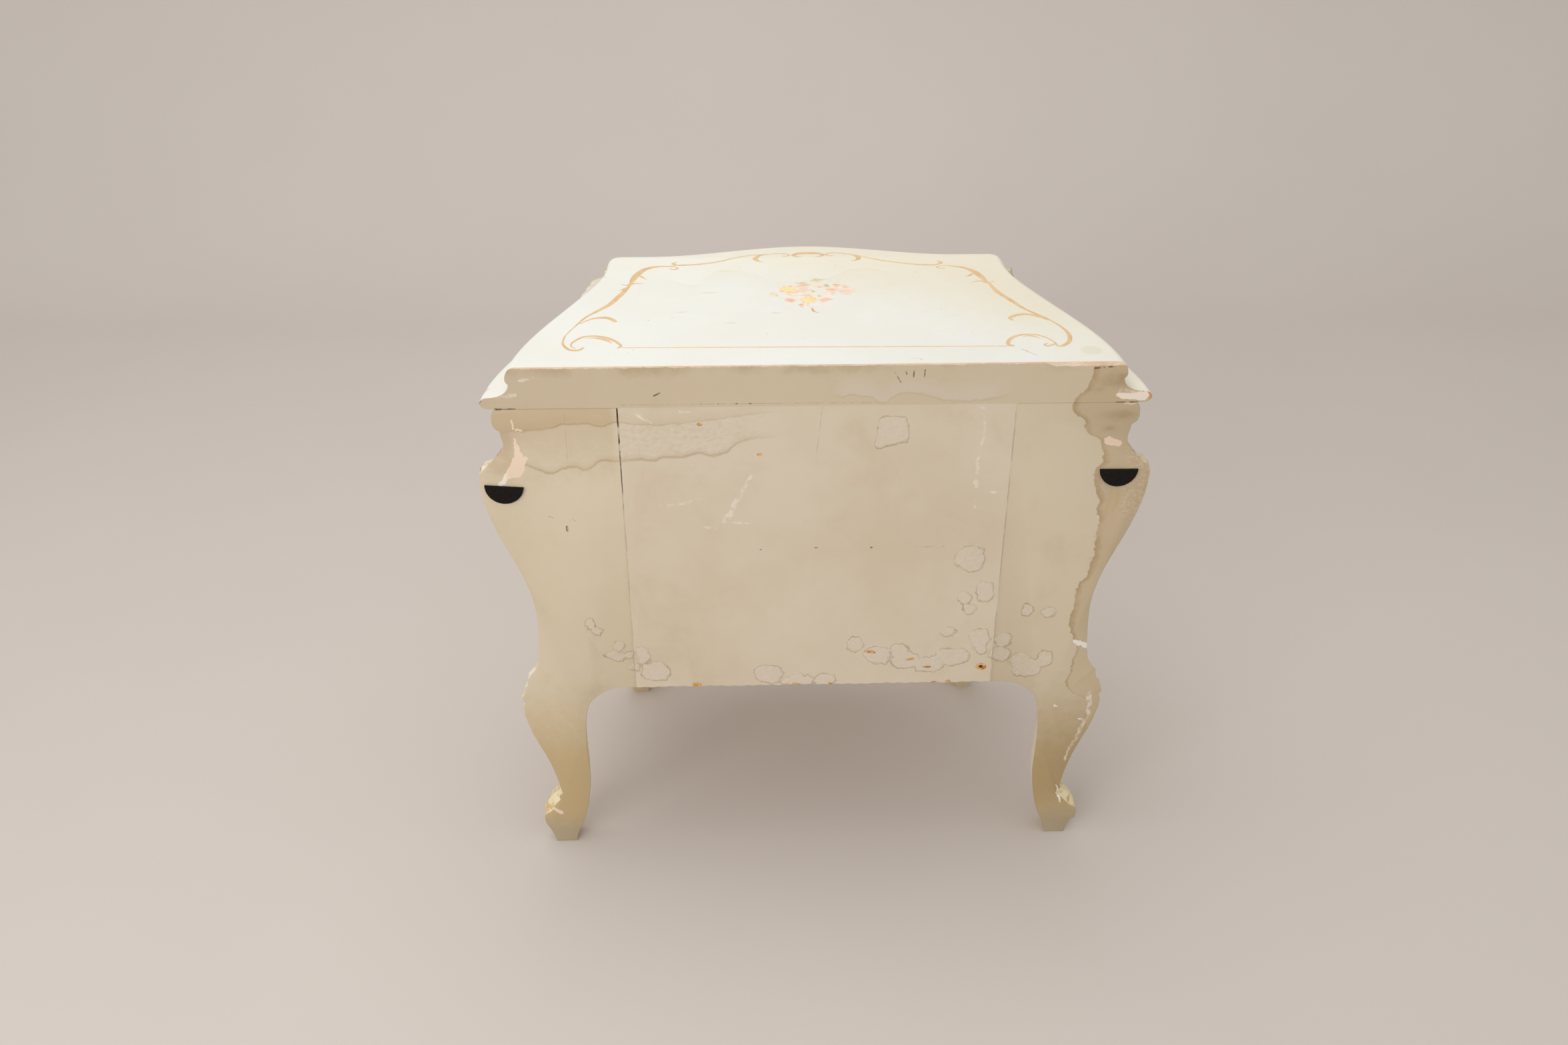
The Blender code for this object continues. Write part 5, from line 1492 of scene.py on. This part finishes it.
def paint_top():
    brush = Painter(lambda u, v, lift: at_plan((2.3 - u) / 1000, v / 1000, HEIGHT + lift))
    for points, first, middle, last, peak in SCROLLS:
        brush.stroke(points, first, middle, last, SCROLL, peak)
    brush.stroke([(u, 48 - (u + 198) * 6 / 404) for u in np.linspace(-198, 206, 20)], 2.0, 2.4, 2.0, LINE)
    brush.bouquet(0.0, 192.0, 1.0)
    brush.piece("painted_top_scrolls", "case")


def paint_fronts():
    for name, (low, high) in OPENINGS.items():
        brush = Painter(lambda u, v, lift: at_plan(u / 1000, front_face(u / 1000, v / 1000) + lift, v / 1000))
        brush.border(-172.0, 172.0, 1000 * low + 15, 1000 * high - 15, 0.8)
        brush.bouquet(0.0, 500 * (low + high) - 2, 0.72)
        brush.piece(name + "_painted_front", name + "_drawer")


def paint_sides():
    for name, side in SIDES:
        def place(u, v, lift):
            return at_plan(side * (side_face(u / 1000, v / 1000) + lift), u / 1000, v / 1000)

        brush = Painter(place)
        brush.border(52.0, 258.0, 275.0, 560.0, 1.1)
        brush.bouquet(150.0, 420.0, 1.05)
        brush.piece("painted_side_" + name, "case")


def finish_solids():
    """The other boards and fastenings keep their solids, with softened edges."""
    for name, node in NODES.items():
        if node.hide_render:
            continue
        low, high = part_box(name)
        size = high - low
        finish = WOOD["xyz"[max(range(3), key=lambda i: size[i])]]
        if "nut" in name:
            finish = BRASS
        elif "brad" in name:
            finish = STEEL
        node.data.materials.clear()
        node.data.materials.append(finish)
        if "brad" not in name:
            soft = node.modifiers.new("softened", "BEVEL")
            soft.width = 0.0004 if "nut" in name else 0.0009
            soft.segments = 2
            soft.limit_method = "ANGLE"
            soft.angle_limit = math.radians(50)


# Floor and backdrop in one sweep, light and camera


def stage_finish():
    f = Finish("pale_floor", 0.8)
    clouds = f.patches(2, 3, 0.3, 0.7)
    f.set("Base Color", f.mix(clouds, (0.635, 0.583, 0.545, 1.0), (0.645, 0.593, 0.555, 1.0)))
    return f.material


def make_stage():
    line = [(5.0, 0.0), (-1.5, 0.0)]
    line += [(-1.5 - 0.9 * math.sin(a), 0.9 * (1 - math.cos(a))) for a in np.linspace(0, math.pi / 2, 24)[1:]]
    line.append((-2.4, 5.0))
    verts = [(x, y, z) for y, z in line for x in (-6.0, 6.0)]
    faces = [(2 * i, 2 * i + 1, 2 * i + 3, 2 * i + 2) for i in range(len(line) - 1)]
    mesh = bpy.data.meshes.new("floor")
    mesh.from_pydata(verts, [], faces)
    mesh.materials.append(stage_finish())
    mesh.shade_smooth()
    floor = bpy.data.objects.new("floor", mesh)
    bpy.context.scene.collection.objects.link(floor)


WARM_WHITE = (1.0, 0.985, 0.96)


def add_area(name, place, target, size, power):
    lamp = bpy.data.lights.new(name, "AREA")
    lamp.shape = "RECTANGLE"
    lamp.size, lamp.size_y = size
    lamp.energy = power
    lamp.color = WARM_WHITE
    item = bpy.data.objects.new(name, lamp)
    item.location = place
    item.rotation_euler = (Vector(target) - Vector(place)).to_track_quat("-Z", "Y").to_euler()
    bpy.context.scene.collection.objects.link(item)


def make_light():
    world = bpy.data.worlds.new("studio")
    world.use_nodes = True
    sky = world.node_tree.nodes["Background"]
    sky.inputs["Color"].default_value = (*WARM_WHITE, 1.0)
    sky.inputs["Strength"].default_value = 0.72
    bpy.context.scene.world = world
    add_area("key", (0.5, -0.4, 2.6), (0.0, 0.0, 0.4), (2.2, 1.6), 17.0)
    add_area("fill", (1.4, 2.4, 1.5), (0.0, 0.0, 0.35), (1.8, 1.4), 26.0)


def make_camera():
    lens = bpy.data.cameras.new("camera")
    lens.sensor_fit = "HORIZONTAL"
    lens.sensor_width = 36.0
    lens.lens = 30.306
    camera = bpy.data.objects.new("camera", lens)
    right = Vector((-0.99964, 0.02685, 0.0)).normalized()
    forward = Vector((-0.0232, -0.8622, -0.5060)).normalized()
    turn = Matrix((right, right.cross(forward), -forward)).transposed().to_4x4()
    camera.matrix_world = Matrix.Translation((0.067, 1.4178, 1.169)) @ turn
    bpy.context.scene.collection.objects.link(camera)
    bpy.context.scene.camera = camera


make_top()
make_back_legs()
make_front_legs()
make_sides()
make_rails()
make_panel()
make_drawer_fronts()
make_pulls()
make_pad("left", 0.3275, 0.5025, -4.4)
make_pad("right", -0.3190, 0.514, -0.4)
paint_top()
paint_fronts()
paint_sides()
finish_solids()
make_stage()
make_light()
make_camera()
bpy.context.scene.view_settings.view_transform = "Standard"

bpy.context.view_layer.update()
